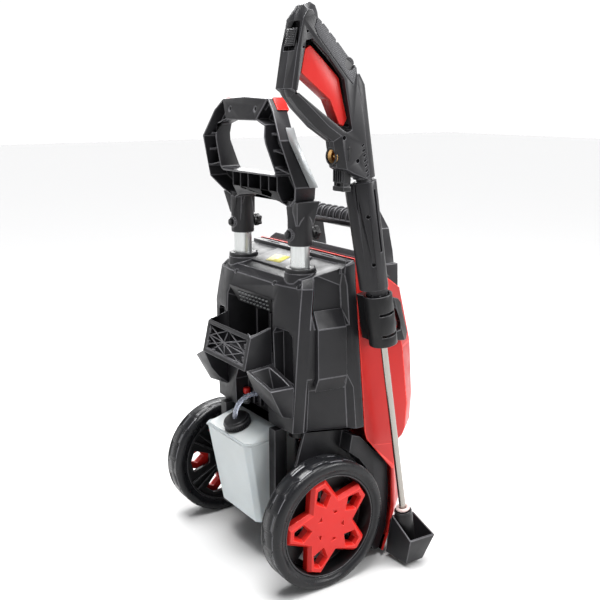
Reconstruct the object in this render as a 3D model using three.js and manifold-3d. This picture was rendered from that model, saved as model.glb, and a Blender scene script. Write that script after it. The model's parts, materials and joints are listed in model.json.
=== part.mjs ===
// An upright electric pressure washer with two wheels, a telescopic push handle and a spray lance
// parked on its left side. Millimetres, +Z up, +Y to the back of the machine, where the user stands.
// The design frame has its origin on the floor, midway between the wheels and under the axle.
// The exported group is moved so that its origin is the bottom centre of the whole object's box.
import * as THREE from "three";
import { ConvexGeometry } from "three/addons/geometries/ConvexGeometry.js";
import { mergeVertices } from "three/addons/utils/BufferGeometryUtils.js";
import Module from "manifold-3d";

// ---------------------------------------------------------------- driving dimensions
const GAP = 0.3; // air left between pieces that touch
const WALL = 3; // moulded shells
const WHEEL = { z: 105, radius: 107, shoulder: 7, inner: 141, outer: 186, rim: 85.5, barrel: 82 };
const AXLE = { radius: 8, inner: 71, outer: 165.6 };
const FLOOR = WHEEL.z - WHEEL.radius; // the wheels and the feet stand on it
const STAR = { lobes: 5, turn: 33, tip: 81, tipHalf: 10, valley: 48, back: 166, front: 184 };
const TUBE = { x: 87, y: -8, radius: 15, wall: 1.6, bottom: 236, top: 588 };
const TOP = { rearY: 7, rearZ: 492, slope: 0.29 }; // the rear housing's roof, rising to the front
const LANCE = { x: -190, y: -80, z: 480, lean: 9.8 }; // a point on the lance's axis and its lean
const GUN = { outer: -210, inner: -170 };
const POST = { inner: 70, outer: 88, front: 19, rear: 42 };
const SKIRT = { inner: 118, outer: 124 };
const CAP = { y: 60, z: 231, tilt: 21, radius: 23.5 };
const CARRY = { legOuter: 105, legInner: 84, gripY: -160, gripZ: 566, gripRadius: 17 };
const FOOT = { x: 80, y: -146, radius: 14, height: 30 };
const DEG = Math.PI / 180;

const COLOURS = {
  charcoal: { color: 0x3d3c41, roughness: 0.5, metalness: 0 },
  softBlack: { color: 0x232326, roughness: 0.8, metalness: 0 },
  red: { color: 0xd8382c, roughness: 0.35, metalness: 0 },
  silver: { color: 0xb9bbbd, roughness: 0.35, metalness: 0.6 },
  aluminium: { color: 0xc8cbca, roughness: 0.3, metalness: 1 },
  steel: { color: 0xbdb8ae, roughness: 0.2, metalness: 1 },
  brass: { color: 0xb08d4a, roughness: 0.3, metalness: 1 },
  tank: { color: 0xd3d9da, roughness: 0.4, metalness: 0 },
  clear: { color: 0xcfd6e0, roughness: 0.1, metalness: 0 },
  pale: { color: 0xe6cfcf, roughness: 0.4, metalness: 0 },
};

// ---------------------------------------------------------------- solids
const wasm = await Module();
wasm.setup();

// A closed three.js geometry as a manifold solid, turned inside out if its faces point inwards.
function solid(geometry) {
  const bare = geometry.clone();
  bare.deleteAttribute("normal");
  bare.deleteAttribute("uv");
  const merged = mergeVertices(bare, 1e-3);
  const vertProperties = new Float32Array(merged.attributes.position.array);
  const triVerts = new Uint32Array(merged.index.array);
  const made = new wasm.Manifold(new wasm.Mesh({ numProp: 3, vertProperties, triVerts }));
  if (made.volume() > 0) return made;
  return new wasm.Manifold(new wasm.Mesh({ numProp: 3, vertProperties, triVerts: triVerts.reverse() }));
}

function geometryOf(made) {
  const { vertProperties, triVerts } = made.getMesh();
  const geometry = new THREE.BufferGeometry();
  geometry.setAttribute("position", new THREE.BufferAttribute(vertProperties, 3));
  geometry.setIndex(new THREE.BufferAttribute(triVerts, 1));
  geometry.computeVertexNormals();
  return geometry;
}

const join = (...pieces) => pieces.reduce((all, piece) => all.add(piece));
const cut = (base, ...tools) => base.subtract(join(...tools));

const hull = (points) => solid(new ConvexGeometry(points.map((p) => new THREE.Vector3(...p))));

function box(x0, x1, y0, y1, z0, z1) {
  const geometry = new THREE.BoxGeometry(x1 - x0, y1 - y0, z1 - z0);
  return solid(geometry.translate((x0 + x1) / 2, (y0 + y1) / 2, (z0 + z1) / 2));
}

// Copies of [y, z] points at each of the given x.
const atEachX = (xs, points) => xs.flatMap((x) => points.map(([y, z]) => [x, y, z]));
// The same points on both sides of the middle.
const onBothSides = (points) => [...points, ...points.map(([x, y, z]) => [-x, y, z])];

// The matrices that take a shape drawn flat and extruded along its normal to lie across an axis.
const basis = (...axes) => new THREE.Matrix4().makeBasis(...axes.map((axis) => new THREE.Vector3(...axis)));
const ACROSS = {
  x: basis([0, 1, 0], [0, 0, 1], [1, 0, 0]),
  y: basis([1, 0, 0], [0, 0, 1], [0, -1, 0]),
  z: basis([1, 0, 0], [0, 1, 0], [0, 0, 1]),
};

// Flat points in counter-clockwise order, as three.js wants both an outline and its holes.
function turnedLeft(points) {
  const flat = points.map(([u, v]) => new THREE.Vector2(u, v));
  return THREE.ShapeUtils.area(flat) > 0 ? flat : flat.reverse();
}

// A prism along an axis: the outline and holes are (y, z) across x, (x, z) across y, (x, y) across z.
function prism(axis, outline, from, to, holes = []) {
  const shape = new THREE.Shape(turnedLeft(outline));
  for (const hole of holes) shape.holes.push(new THREE.Path(turnedLeft(hole)));
  const start = axis === "y" ? -to : from;
  const geometry = new THREE.ExtrudeGeometry(shape, { depth: to - from, bevelEnabled: false });
  return solid(geometry.translate(0, 0, start).applyMatrix4(ACROSS[axis]));
}

// A solid of revolution about an axis through (u, v); the profile is [radius, distance along the axis].
function turned(axis, profile, u = 0, v = 0, segments = 24) {
  const lathe = new THREE.LatheGeometry(
    profile.map(([r, h]) => new THREE.Vector2(r, h)),
    segments,
  );
  // LatheGeometry turns about its own y.
  if (axis === "x") lathe.rotateZ(-Math.PI / 2).translate(0, u, v);
  if (axis === "y") lathe.translate(u, 0, v);
  if (axis === "z") lathe.rotateX(Math.PI / 2).translate(u, v, 0);
  return solid(lathe);
}

const cylinder = (axis, radius, from, to, u = 0, v = 0, segments = 24) =>
  turned(axis, [[0, from], [radius, from], [radius, to], [0, to]], u, v, segments);

const ring = (axis, inner, outer, from, to, u = 0, v = 0, segments = 24) =>
  turned(axis, [[inner, from], [outer, from], [outer, to], [inner, to], [inner, from]], u, v, segments);

// A solid skinned over rings of points that all have the same count, with flat ends.
function loft(rings) {
  const count = rings[0].length;
  const flat = (ring) => ring.map(([x, y]) => new THREE.Vector2(x, y));
  const turn = Math.sign(THREE.ShapeUtils.area(flat(rings[0])));
  const index = [];
  for (let level = 0; level + 1 < rings.length; level++) {
    for (let i = 0; i < count; i++) {
      const a = level * count + i;
      const b = level * count + ((i + 1) % count);
      index.push(a, b, b + count, a, b + count, a + count);
    }
  }
  // The bottom end runs against the rings' own direction, and the top end along it.
  const cap = (level, direction) => {
    const points = flat(rings[level]);
    for (const [a, b, c] of THREE.ShapeUtils.triangulateShape(points, [])) {
      const own = Math.sign(THREE.ShapeUtils.area([points[a], points[b], points[c]]));
      const corners = own * turn === direction ? [a, b, c] : [c, b, a];
      index.push(...corners.map((corner) => level * count + corner));
    }
  };
  cap(0, -1);
  cap(rings.length - 1, 1);
  const geometry = new THREE.BufferGeometry();
  geometry.setAttribute("position", new THREE.Float32BufferAttribute(rings.flat(2), 3));
  geometry.setIndex(index);
  return solid(geometry);
}

const mirrorX = (made) => made.mirror([1, 0, 0]);
const bothSides = (made) => join(made, mirrorX(made));

// A value read off a list of [key, value] pairs, straight between them.
function between(table, key) {
  const last = table.length - 1;
  if (key <= table[0][0]) return table[0][1];
  if (key >= table[last][0]) return table[last][1];
  const i = table.findIndex(([k]) => k > key);
  const [k0, v0] = table[i - 1];
  const [k1, v1] = table[i];
  return v0 + ((v1 - v0) * (key - k0)) / (k1 - k0);
}

// ---------------------------------------------------------------- housings
const SEAM_Z = [222, 518];
const seamX = (z) => between([[SEAM_Z[0], 160], [SEAM_Z[1], 139]], z);
const seamY = (z) => between([[SEAM_Z[0], -86], [SEAM_Z[1], -75]], z);
const RIDGE_X = [[245, 118], [416, 130], [452, 127], [480, 124], [492, 114]];
const RIDGE_Y = [[245, 28], [416, 24], [452, 19], [480, 14], [492, 7]];
// The middle of the back wall stands out from the line between the ridges, up to BULGE_X from the centre.
const BULGE_X = 78;
const BULGE_Y = [[245, 3], [416, 11], [452, 14], [480, 10], [492, 5]];
// How far the side panel lies inside its frame: the upper and lower panels are sunk, the middle is not.
const PANEL_INSET = [[245, 7], [315, 7], [336, 0], [418, 0], [444, 8], [480, 8], [492, 0]];
const FLANGE_WIDTH = 16;

// The rear housing's section at a height, grown by grow; front moves its open front edge.
function rearSection(z, grow, frontMove) {
  const ridge = [between(RIDGE_X, z) + grow, between(RIDGE_Y, z) + grow];
  const bulge = [BULGE_X, ridge[1] + between(BULGE_Y, z)];
  const chamfer = [ridge[0] + 8, ridge[1] - 16];
  const seam = [seamX(z) + grow, seamY(z) + frontMove];
  const flange = [seam[0] - 1, seamY(z) + FLANGE_WIDTH];
  const inset = between(PANEL_INSET, z);
  const along = (t, inward) => [
    chamfer[0] + (flange[0] - chamfer[0]) * t - inward,
    chamfer[1] + (flange[1] - chamfer[1]) * t,
  ];
  const half = [bulge, ridge, chamfer, along(0.1, inset), along(0.88, inset), flange, seam];
  const other = half.map(([x, y]) => [-x, y]).reverse();
  return [...half, ...other];
}

function rearShell(grow, bottom, topDrop, frontMove) {
  const levels = [bottom, 315, 336, 418, 444, 480];
  const rings = levels.map((z) => rearSection(z, grow, frontMove).map(([x, y]) => [x, y, z]));
  const roof = rearSection(492, grow, frontMove);
  rings.push(roof.map(([x, y]) => [x, y, TOP.rearZ + (TOP.rearY - y) * TOP.slope - topDrop]));
  return loft(rings);
}

// A recess in the back wall from its bottom, at depthY, to its mouth, each one an (x, z) outline. It is
// lined by a wall of its own.
function recess(mouth, depthY, bottom = mouth) {
  const grown = (outline) => {
    const mean = (k) => outline.reduce((sum, point) => sum + point[k], 0) / outline.length;
    const outwards = (point, k) => point[k] + WALL * Math.sign(point[k] - mean(k));
    return outline.map((point) => [outwards(point, 0), outwards(point, 1)]);
  };
  const at = (y, outline) => outline.map(([x, z]) => [x, y, z]);
  const room = (deep, start, open) => hull([...at(start, deep), ...at(MOUTH_Y, open), ...at(60, open)]);
  return {
    cup: room(grown(bottom), depthY - WALL, grown(mouth)),
    hollow: room(bottom, depthY, mouth),
  };
}

const MOUTH_Y = 36;
const BAY = [[-71, 351], [-71, 442], [-66, 459], [66, 459], [71, 442], [71, 351]];
const BAY_BOTTOM = [[-62, 351], [-62, 420], [62, 420], [62, 351]];
const ARCH = [[-52, 248], [-52, 292], [-28, 338], [28, 338], [52, 292], [52, 248]];
const HOLLOW = [[76, 326], [74, 404], [82, 414], [108, 412], [116, 404], [120, 318]];

function rearHousing() {
  const bay = recess(BAY, -18, BAY_BOTTOM);
  const arch = recess(ARCH, 6);
  const sides = [HOLLOW, HOLLOW.map(([x, z]) => [-x, z]).reverse()].map((outline) => recess(outline, 15));
  const boss = (x) => cylinder("z", 25, 470, 500, x, TUBE.y);
  const cheek = [[-50, 500], [-50, 508], [-74.5, 519], [-74.5, 496]];
  const rail = join(box(-137, 137, -74.5, -60, 496, 519), bothSides(hull(atEachX([118, 139], cheek))));
  const whole = rearShell(0, 245, 0, 0);
  const linings = join(bay.cup, arch.cup, ...sides.map((made) => made.cup)).intersect(whole);
  let shell = cut(whole, rearShell(-WALL, 238, WALL, -12));
  shell = join(shell, linings, boss(TUBE.x), boss(-TUBE.x), rail);
  const bosses = [-TUBE.x, TUBE.x].flatMap((x) => [
    cylinder("z", 19, 460, 510, x, TUBE.y),
    cylinder("z", 25.5, 500, 520, x, TUBE.y),
  ]);
  const archOpen = prism("y", ARCH.map(([x, z]) => [x, z < 250 ? 230 : z]), 6, 60);
  const tubePort = cylinder("y", 5, -5, 12, -17, 283, 12);
  const slot = box(-96, -60, -70, -64, 510, 530);
  const hollows = [bay, arch, ...sides].map((made) => made.hollow);
  shell = cut(shell, ...hollows, ...bosses, archOpen, tubePort, slot, mirrorX(slot));
  const rib = (x) => box(x - 2, x + 2, 4, 14, 252, 336);
  const divider = (x) => box(x - 1.5, x + 1.5, -20, 6, 348, 420);
  return join(shell, rib(2), rib(22), divider(-20), divider(22));
}

function topCover() {
  const half = 58;
  const lift = (y) => TOP.rearZ + (TOP.rearY - y) * TOP.slope + GAP;
  const corners = [[-half, -6], [half, -6], [half - 6, -57], [6 - half, -57]];
  const plate = (thick) => corners.flatMap(([x, y]) => [[x, y, lift(y)], [x * 0.96, y, lift(y) + thick]]);
  return hull(plate(3));
}

// The red front housing: the corner's y at each height. A step at 200 to 222 sets the cover above it proud.
const FRONT_CORNER = [[8, -169], [86, -197], [200, -190], [210, -208], [222, -214], [266, -217],
  [365, -209], [459, -183], [520, -166]];
// Below the flange its rear edge follows the wheel arch.
const FRONT_REAR = [[8, -130], [48, -146], [110, -149.5], [163, -145], [182, -132], [196, -113], [222, -91],
  [235, -87.1], [518, -76.4]];
const ROOF = { y: -76, z: 524, slope: 0.6 };

function frontSection(z, grow, rearMove) {
  const corner = between(FRONT_CORNER, z);
  const side = Math.min(seamX(z), 156) + grow;
  const half = [
    [seamX(z) + grow, between(FRONT_REAR, z) + rearMove],
    [side, Math.min(corner + 38, between(FRONT_REAR, z) - 6)],
    [125 + grow, corner - grow],
    [62, corner - 16 - grow],
  ];
  const other = half.map(([x, y]) => [-x, y]).reverse();
  return [...half, ...other];
}

function frontShell(grow, bottom, rearMove) {
  const levels = [bottom, 36, 86, 158, 200, 210, 222, 235, 266, 365, 459, 520];
  return loft(levels.map((z) => frontSection(z, grow, rearMove).map(([x, y]) => [x, y, z])));
}

// Everything above the sloping roof, lowered by drop.
function aboveRoof(drop) {
  const z = (y) => ROOF.z + (y - ROOF.y) * ROOF.slope - drop;
  return prism("x", [[-60, z(-60)], [-60, 700], [-300, 700], [-300, z(-300)]], -200, 200);
}

const PANEL = { half: 52, bottom: 282, top: 362, front: -240, back: -224 };
const KNOB = { radius: 20, z: 322, front: -258, back: -240.4 };
const PORT = { x: 46, z: 140 };
const GLAND = { x: 96, z: 92 };

function frontHousing() {
  const outer = cut(frontShell(0, 8, 0), aboveRoof(0));
  const inner = cut(frontShell(-WALL, 2, 14), aboveRoof(WALL));
  const { half, bottom, top } = PANEL;
  const openings = [
    box(-half - GAP, half + GAP, -260, -190, bottom - GAP, top + GAP),
    cylinder("y", 17, -260, -180, PORT.x, PORT.z),
    cylinder("y", 17, -260, -180, -PORT.x, PORT.z),
    cylinder("y", 9.5, -260, -180, GLAND.x, GLAND.z, 16),
  ];
  return cut(outer, inner, ...openings);
}

// The black panel that carries the switch, with air slots on both sides of the knob.
function frontPanel() {
  const { half, bottom, top, front, back } = PANEL;
  const plate = box(-half, half, front, back, bottom, top);
  const hollow = box(-half + WALL, half - WALL, front + WALL, back - 1, bottom + WALL, top - WALL);
  const slots = [];
  for (let z = 300; z < 348; z += 12) slots.push(bothSides(box(31, 47, front - 1, back, z, z + 4)));
  const open = box(-half + WALL, half - WALL, back - 2, back + 1, bottom + WALL, top - WALL);
  return cut(plate, hollow, open, ...slots, cylinder("y", 6.4, front - 1, back, 0, KNOB.z));
}

// The black panel beside and in front of each wheel: an inner skirt, and a mudguard with its arc round
// the wheel.
const SKIRT_OUTLINE = [[9, 244], [25, 190], [22, 130], [12, 70], [-60, 46], [-128, 46], [-128, 150],
  [-84, 222], [-76, 244]];
const GUARD_FRONT = [[-67, 232], [-84, 226], [-111, 196], [-130, 182], [-143, 163], [-147.5, 110], [-144, 48],
  [-128, 9], [-118, 9]];
const GUARD_RADIUS = 116;
// A point on the side view at a radius round the wheel's centre, by its angle above the forward axis.
const polar = (radius, degrees) => {
  const angle = degrees * DEG;
  return [-radius * Math.cos(angle), WHEEL.z + radius * Math.sin(angle)];
};

function wheelArch() {
  const skirt = prism("x", SKIRT_OUTLINE, SKIRT.inner, SKIRT.outer);
  const arc = [];
  for (let angle = -33; angle < 60; angle += 13) arc.push(polar(GUARD_RADIUS, angle));
  const guard = prism("x", [...GUARD_FRONT, ...arc], SKIRT.inner, 151);
  return cut(join(skirt, guard), cylinder("x", 24, 100, 160, 0, WHEEL.z));
}

// ---------------------------------------------------------------- chassis and works
function chassis() {
  const post = box(POST.inner, POST.outer, POST.front, POST.rear, 52, 244);
  const rail = box(POST.inner, POST.outer, -130, POST.rear, 52, 74);
  const boss = cylinder("x", 20, POST.inner, 138, 0, WHEEL.z);
  const web = prism("x", [[-26, 74], [-18, 118], [18, 118], [30, 74]], POST.inner, POST.outer);
  const half = join(post, rail, boss, web);
  const shelf = box(-POST.outer, POST.outer, -22, 20, 58, 72.7);
  const tray = box(-POST.outer, POST.outer, -160, -88, 30.3, 62);
  const floor = box(-POST.outer, POST.outer, -90, -20, 52, 62);
  const bore = cylinder("x", AXLE.radius + GAP, 60, 150, 0, WHEEL.z);
  const whole = join(bothSides(half), shelf, tray, floor);
  return cut(whole, bore, mirrorX(bore), box(-69, 69, -21.9, 60, 72.7, 230));
}

const axle = () => cylinder("x", AXLE.radius, AXLE.inner, AXLE.outer, 0, WHEEL.z);

function foot() {
  const { radius, height } = FOOT;
  const profile = [[0, FLOOR], [radius - 2, FLOOR], [radius, FLOOR + 3], [radius - 3, height], [0, height]];
  return turned("z", profile, FOOT.x, FOOT.y);
}

const MOTOR = { y: -128, radius: 46, bottom: 222, top: 352 };
const PUMP = { half: 62, front: -172, back: -92, bottom: 62.3, top: 140 };

function motor() {
  const { y, radius, bottom, top } = MOTOR;
  const can = cylinder("z", radius, bottom, top, 0, y, 32);
  const dome = [[0, top - 2], [42, top - 2], [40, top + 22], [18, top + 28], [0, top + 28]];
  const fanCover = turned("z", dome, 0, y, 32);
  const flange = box(-50, 50, y - 48, y + 48, bottom - 8, bottom + 2);
  return join(can, fanCover, flange);
}

function pumpHead() {
  const { half, front, back, bottom, top } = PUMP;
  const block = box(-half, half, front, back, bottom, top);
  const under = MOTOR.bottom - 8.4;
  const profile = [[0, top - 2], [44, top - 2], [44, 190], [38, under], [0, under]];
  const gearcase = turned("z", profile, 0, MOTOR.y, 32);
  const valve = cylinder("y", 9, back - 1, -70, 30, 118);
  return join(block, gearcase, valve);
}

// The connectors and the gland: turned pieces that stick out to the front, each with an open end.
const CONNECTOR_ROOT = PUMP.front - 0.4;
const OUTLET = [[0, -228], [5, -228], [5, -236], [10, -236], [10, -208], [12, -206], [12, CONNECTOR_ROOT],
  [0, CONNECTOR_ROOT]];
const INLET = [[0, -222], [8, -222], [8, -232], [15, -232], [15, -214], [13, -212], [13, CONNECTOR_ROOT],
  [0, CONNECTOR_ROOT]];
const GLAND_PROFILE = [[0, -220], [4, -220], [4, -230], [7, -230], [12, -214], [12, -208], [8.6, -208],
  [8.6, -190], [0, -190]];

const outletConnector = () => turned("y", OUTLET, PORT.x, PORT.z);
const inletConnector = () => turned("y", INLET, -PORT.x, PORT.z);
const cordGland = () => turned("y", GLAND_PROFILE, GLAND.x, GLAND.z, 16);

const switchBox = () => box(-24, 24, PANEL.back + 2, -190, KNOB.z - 24, KNOB.z + 24);

function switchKnob() {
  const { radius, back, front, z } = KNOB;
  const face = back - 9.6;
  const profile = [[0, back], [radius, back], [radius, face + 2], [radius - 3, face], [0, face]];
  const dial = turned("y", profile, 0, z);
  const foot = atEachX([-5, 5], [[face + 1, z - 18], [face + 1, z + 18]]);
  const crest = atEachX([-3.5, 3.5], [[front, z - 16], [front, z + 16]]);
  const bar = hull([...foot, ...crest]);
  const shaft = cylinder("y", 6, back - 1, PANEL.back + 1, 0, z);
  return join(dial, bar, shaft);
}

const tubeSocket = () => ring("z", 15.5, 18.6, 226, 499, TUBE.x, TUBE.y);

// ---------------------------------------------------------------- storage on the back
const BASKET = { half: 69, front: 29 };
// The basket's crossed bars: each one's angle, and the x and z that it passes through.
const LATTICE = [[26, 0, 372], [-26, 0, 376], [26, 32, 362], [-26, -30, 362], [48, 26, 378], [-48, -24, 374],
  [90, -2, 374]];

function basket() {
  const { half, front } = BASKET;
  const backWall = [[half, 74, 399], [half - 11, 72, 407], [half, 86, 347]];
  const sideWall = [[half, front, 412], [half, front, 347]];
  const outer = hull(onBothSides([...backWall, ...sideWall]));
  const room = [[half - 3, 71, 399], [half - 14, 69, 424], [half - 3, 83, 350.5], [half - 3, front - 5, 430],
    [half - 3, front - 5, 350.5]];
  const inner = hull(onBothSides(room));
  const wall = hull(onBothSides(backWall.flatMap(([x, y, z]) => [[x, y, z], [x, y - 3, z]])));
  const windowHole = box(-58, 58, 60, 100, 356, 393);
  const rim = cut(outer, inner, windowHole);
  const bar = (angle, x, z) => {
    const strip = new THREE.BoxGeometry(150, 60, 2.4).rotateY(-angle * DEG).translate(x, 80, z);
    return solid(strip);
  };
  const bars = join(...LATTICE.map((place) => bar(...place)));
  const web = bars.intersect(wall).intersect(box(-60, 60, 60, 100, 354, 395));
  return cut(join(rim, web), behindRear());
}

function pocket() {
  const outer = hull([[70, 84, 348], [70, 42, 351], [124, 31, 325], [122, 71, 325], [70, 29, 351],
    [124, 29, 325], [70, 70, 314], [72, 54, 294], [82, 45, 281], [118, 46, 277], [122, 29, 272],
    [78, 29, 274]]);
  const cavity = hull([[75, 78, 349], [75, 45, 352], [118, 35, 329], [116, 66, 329], [75, 78, 370],
    [75, 45, 370], [118, 35, 370], [116, 66, 370], [86, 52, 306], [112, 48, 294], [114, 36, 292],
    [84, 40, 306]]);
  return cut(outer, cavity, behindRear());
}

// What lies inside the rear housing's outer face, with a gap.
const behindRear = () => bothSides(rearShell(GAP, 245, 0, 0));

// ---------------------------------------------------------------- detergent tank
const TANK = { bottom: 73, shoulder: 219, top: 238, wall: 2.5, chamfer: 8 };

// The tank's section at a height: half its width and its front and rear, grown by grow.
function tankSection(half, front, rear, z, grow) {
  const c = TANK.chamfer;
  const right = [[half - c, rear], [half, rear - c], [half, front + c], [half - c, front]];
  const moved = right.map(([x, y]) => [x + grow, y + grow * (y > 0 ? 1 : -1)]);
  return [...moved, ...moved.map(([x, y]) => [-x, y]).reverse()].map(([x, y]) => [x, y, z]);
}

function tankShape(grow) {
  const { bottom, shoulder, top } = TANK;
  const base = tankSection(62, -18, 60, bottom - grow, grow);
  const body = loft([base, tankSection(68, -21, 85, shoulder, grow)]);
  const roof = tankSection(58, -10, 36, top + grow, grow);
  return join(body, hull([...tankSection(68, -21, 85, shoulder - 0.5, grow), ...roof]));
}

// Takes a piece made round the z axis to the tank's tilted mouth.
const atMouth = (made) => made.rotate([-CAP.tilt, 0, 0]).translate([0, CAP.y - 1, CAP.z]);

function tank() {
  const neck = atMouth(cylinder("z", 19, -24, 5));
  const bore = atMouth(cylinder("z", 15, -30, 9));
  return cut(join(tankShape(0), neck), tankShape(-TANK.wall), bore);
}

function tankCap() {
  const { radius } = CAP;
  const profile = [[4.8, -1], [13, -1], [13, 5.4], [19.4, 5.4], [19.4, -1.2], [radius, -1.2], [radius, 12],
    [radius - 2.5, 14], [4.8, 14], [4.8, -1]];
  return atMouth(turned("z", profile));
}

function suctionTube() {
  const lean = Math.tan(CAP.tilt * DEG);
  const inCap = (z) => [0, CAP.y - 1 + (z - CAP.z) * lean, z];
  const route = [inCap(92), inCap(180), inCap(231), inCap(246), [-3, 60, 266], [-9, 47, 280],
    [-15, 28, 284], [-17, 8, 283], [-17, -2, 283]];
  const extrudePath = new THREE.CatmullRomCurve3(route.map((p) => new THREE.Vector3(...p)));
  const round = new THREE.Shape().absarc(0, 0, 4, 0, 2 * Math.PI);
  const options = { steps: 22, curveSegments: 4, extrudePath, bevelEnabled: false };
  return solid(new THREE.ExtrudeGeometry(round, options));
}

// ---------------------------------------------------------------- carry handle
function carryHandle() {
  const { legOuter, legInner, gripY, gripZ, gripRadius } = CARRY;
  const acrossLeg = (points) => atEachX([legInner, legOuter], points);
  const leg = join(
    hull([[legInner, -146, 583], [legInner, -172, 583], [legOuter, -146, 557], [legOuter, -174, 557],
      ...acrossLeg([[-150, 520], [-183, 520]])]),
    hull(acrossLeg([[-150, 522], [-183, 522], [-158, 492], [-187, 497]])),
    hull(atEachX([legInner - 4, legOuter + 5], [[-156, 497], [-191, 497], [-156, 474], [-193, 450]])),
  );
  const grip = cylinder("x", gripRadius, -legInner - 2, legInner + 2, gripY, gripZ, 20);
  const plate = hull(onBothSides([[132, -92, 500], [132, -92, 519], [118, -96, 529], [legOuter, -190, 440],
    [legOuter, -190, 468]]));
  return cut(join(bothSides(leg), grip, plate), belowRoof());
}

// What lies under the front housing's roof, with a gap.
function belowRoof() {
  const z = (y) => ROOF.z + (y - ROOF.y) * ROOF.slope + GAP;
  return prism("x", [[-60, z(-60)], [-60, 300], [-300, 300], [-300, z(-300)]], -200, 200);
}

// ---------------------------------------------------------------- push handle
// The loop's back edge in y at each height, and how deep the loop is there.
const LOOP_REAR = [[595, 6], [615, 17], [636, 30], [705, 49], [747, 42], [768, 36]];
const LOOP_DEPTH = [[595, 37], [655, 37], [700, 27], [730, 26], [768, 25]];
const atRear = (z) => between(LOOP_REAR, z);
const atFront = (z) => atRear(z) - between(LOOP_DEPTH, z);
const shifted = (edge, by) => (z) => edge(z) + by;
const GRIP_THICK = 6;
const LOOP_OUTER = [[0, 616], [50, 612], [83, 601], [110, 615], [130, 636], [118, 705], [106, 722.4],
  [89, 747], [68, 765], [0, 768]];
const LOOP_INNER = [[0, 652], [50, 652], [78, 652], [82, 655], [82, 658], [74, 699], [72.3, 709.8],
  [70, 725], [45, 732], [0, 732]];
const GRIP_FIRST = 8; // the index of the top bar's span

// One span of the loop between two pairs of outline points. front and rear give y at a height, and
// outerIn and innerIn narrow the span from its two edges.
function loopSpan(i, front, rear, outerIn = 0, innerIn = 0) {
  const points = [];
  for (const k of [i, i + 1]) {
    const o = LOOP_OUTER[k];
    const n = LOOP_INNER[k];
    const length = Math.hypot(n[0] - o[0], n[1] - o[1]);
    const at = (t) => [o[0] + ((n[0] - o[0]) * t) / length, o[1] + ((n[1] - o[1]) * t) / length];
    for (const [x, z] of [at(outerIn), at(length - innerIn)]) {
      points.push([x, front(z), z], [x, rear(z), z]);
    }
  }
  return hull(points);
}

function loopRange(from, to, front, rear, outerIn, innerIn) {
  const spans = [];
  for (let i = from; i < to; i++) spans.push(loopSpan(i, front, rear, outerIn, innerIn));
  return join(...spans);
}

const HANDLE_BOLT_Z = 560;
const SLEEVE = { radius: 19.5, bottom: 542, top: 612, eye: 14 };

function handleLoop() {
  const whole = bothSides(loopRange(0, GRIP_FIRST + 1, atFront, atRear));
  const channel = bothSides(loopRange(0, GRIP_FIRST, shifted(atFront, 4), shifted(atRear, 8), 3, 3));
  const seatFloor = shifted(atRear, -GRIP_THICK - 1);
  const gripSeat = bothSides(loopRange(GRIP_FIRST, GRIP_FIRST + 1, seatFloor, shifted(atRear, 8), -2, -2));
  const ribs = [];
  for (let i = 0; i < 3; i++) {
    const slanted = [[72, 664 + i * 24], [128, 654 + i * 26], [128, 656 + i * 26], [72, 666 + i * 24]];
    ribs.push(box(18 + i * 24, 20 + i * 24, -10, 22, 605, 653));
    ribs.push(hull([10, 34].flatMap((y) => slanted.map(([x, z]) => [x, y, z]))));
  }
  const ribbing = bothSides(join(...ribs)).intersect(whole);
  // Round where it grips the tube, and flared to the frame's width above.
  const round = cylinder("z", SLEEVE.radius, SLEEVE.bottom, SLEEVE.top, TUBE.x, TUBE.y);
  const flare = hull([[68, -22, 612], [112, -28, 612], [68, 2, 612], [112, 15, 612], [72, -24, 575],
    [102, -24, 575], [72, 4, 575], [102, 8, 575]]);
  const eye = cylinder("y", 9, TUBE.y, SLEEVE.eye, TUBE.x, HANDLE_BOLT_Z, 16);
  const sleeve = join(round, flare, eye);
  const bore = cylinder("z", TUBE.radius + GAP, 530, TUBE.top + GAP, TUBE.x, TUBE.y);
  const bolt = cylinder("y", 3.4, -60, 60, TUBE.x, HANDLE_BOLT_Z, 12);
  const frame = join(cut(whole, channel, gripSeat), ribbing, bothSides(sleeve));
  return cut(frame, bothSides(join(bore, bolt)));
}

function gripCover() {
  const span = loopRange(GRIP_FIRST, GRIP_FIRST + 1, shifted(atRear, -GRIP_THICK), shifted(atRear, 1));
  const cover = bothSides(span);
  const screw = cylinder("y", 3.5, 38, 60, 38, 749, 12);
  return cut(cover, bothSides(screw));
}

// A thin cover wrapped over the outer side and the front of some of the loop's spans. The room for the
// loop is the loop itself, and the loop moved out by the gap.
function wrap(from, to, depth) {
  const cover = loopRange(from, to, shifted(atFront, -2 - GAP), shifted(atFront, depth), -2 - GAP, 16);
  const loop = loopRange(0, GRIP_FIRST + 1, atFront, atRear);
  const steps = [[0, -GAP, 0], [GAP, 0, 0], [GAP, 0, GAP], [GAP, -GAP, 0], [0, 0, GAP]];
  return cut(cover, loop, ...steps.map((step) => loop.translate(step)));
}

const cornerInset = () => wrap(7, 8, 18);
const sideTrim = () => wrap(4, 6, 12);

function handleTube() {
  const { radius, wall, bottom, top, x, y } = TUBE;
  const boltHole = cylinder("y", 3.4, -40, 40, x, HANDLE_BOLT_Z, 12);
  return cut(ring("z", radius - wall, radius, bottom, top, x, y), boltHole);
}

function collar() {
  const base = ring("z", 15.4, 24, 500.3, 507, TUBE.x, TUBE.y);
  const tab = box(TUBE.x - 3, TUBE.x + 3, TUBE.y - 27, TUBE.y - 20, 504.4, 507);
  return join(base, tab);
}

function clampBolt() {
  const head = cylinder("y", 6, SLEEVE.eye + GAP, SLEEVE.eye + 4, TUBE.x, HANDLE_BOLT_Z, 6);
  return join(head, cylinder("y", 3, -33, SLEEVE.eye + 1, TUBE.x, HANDLE_BOLT_Z, 12));
}

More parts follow.
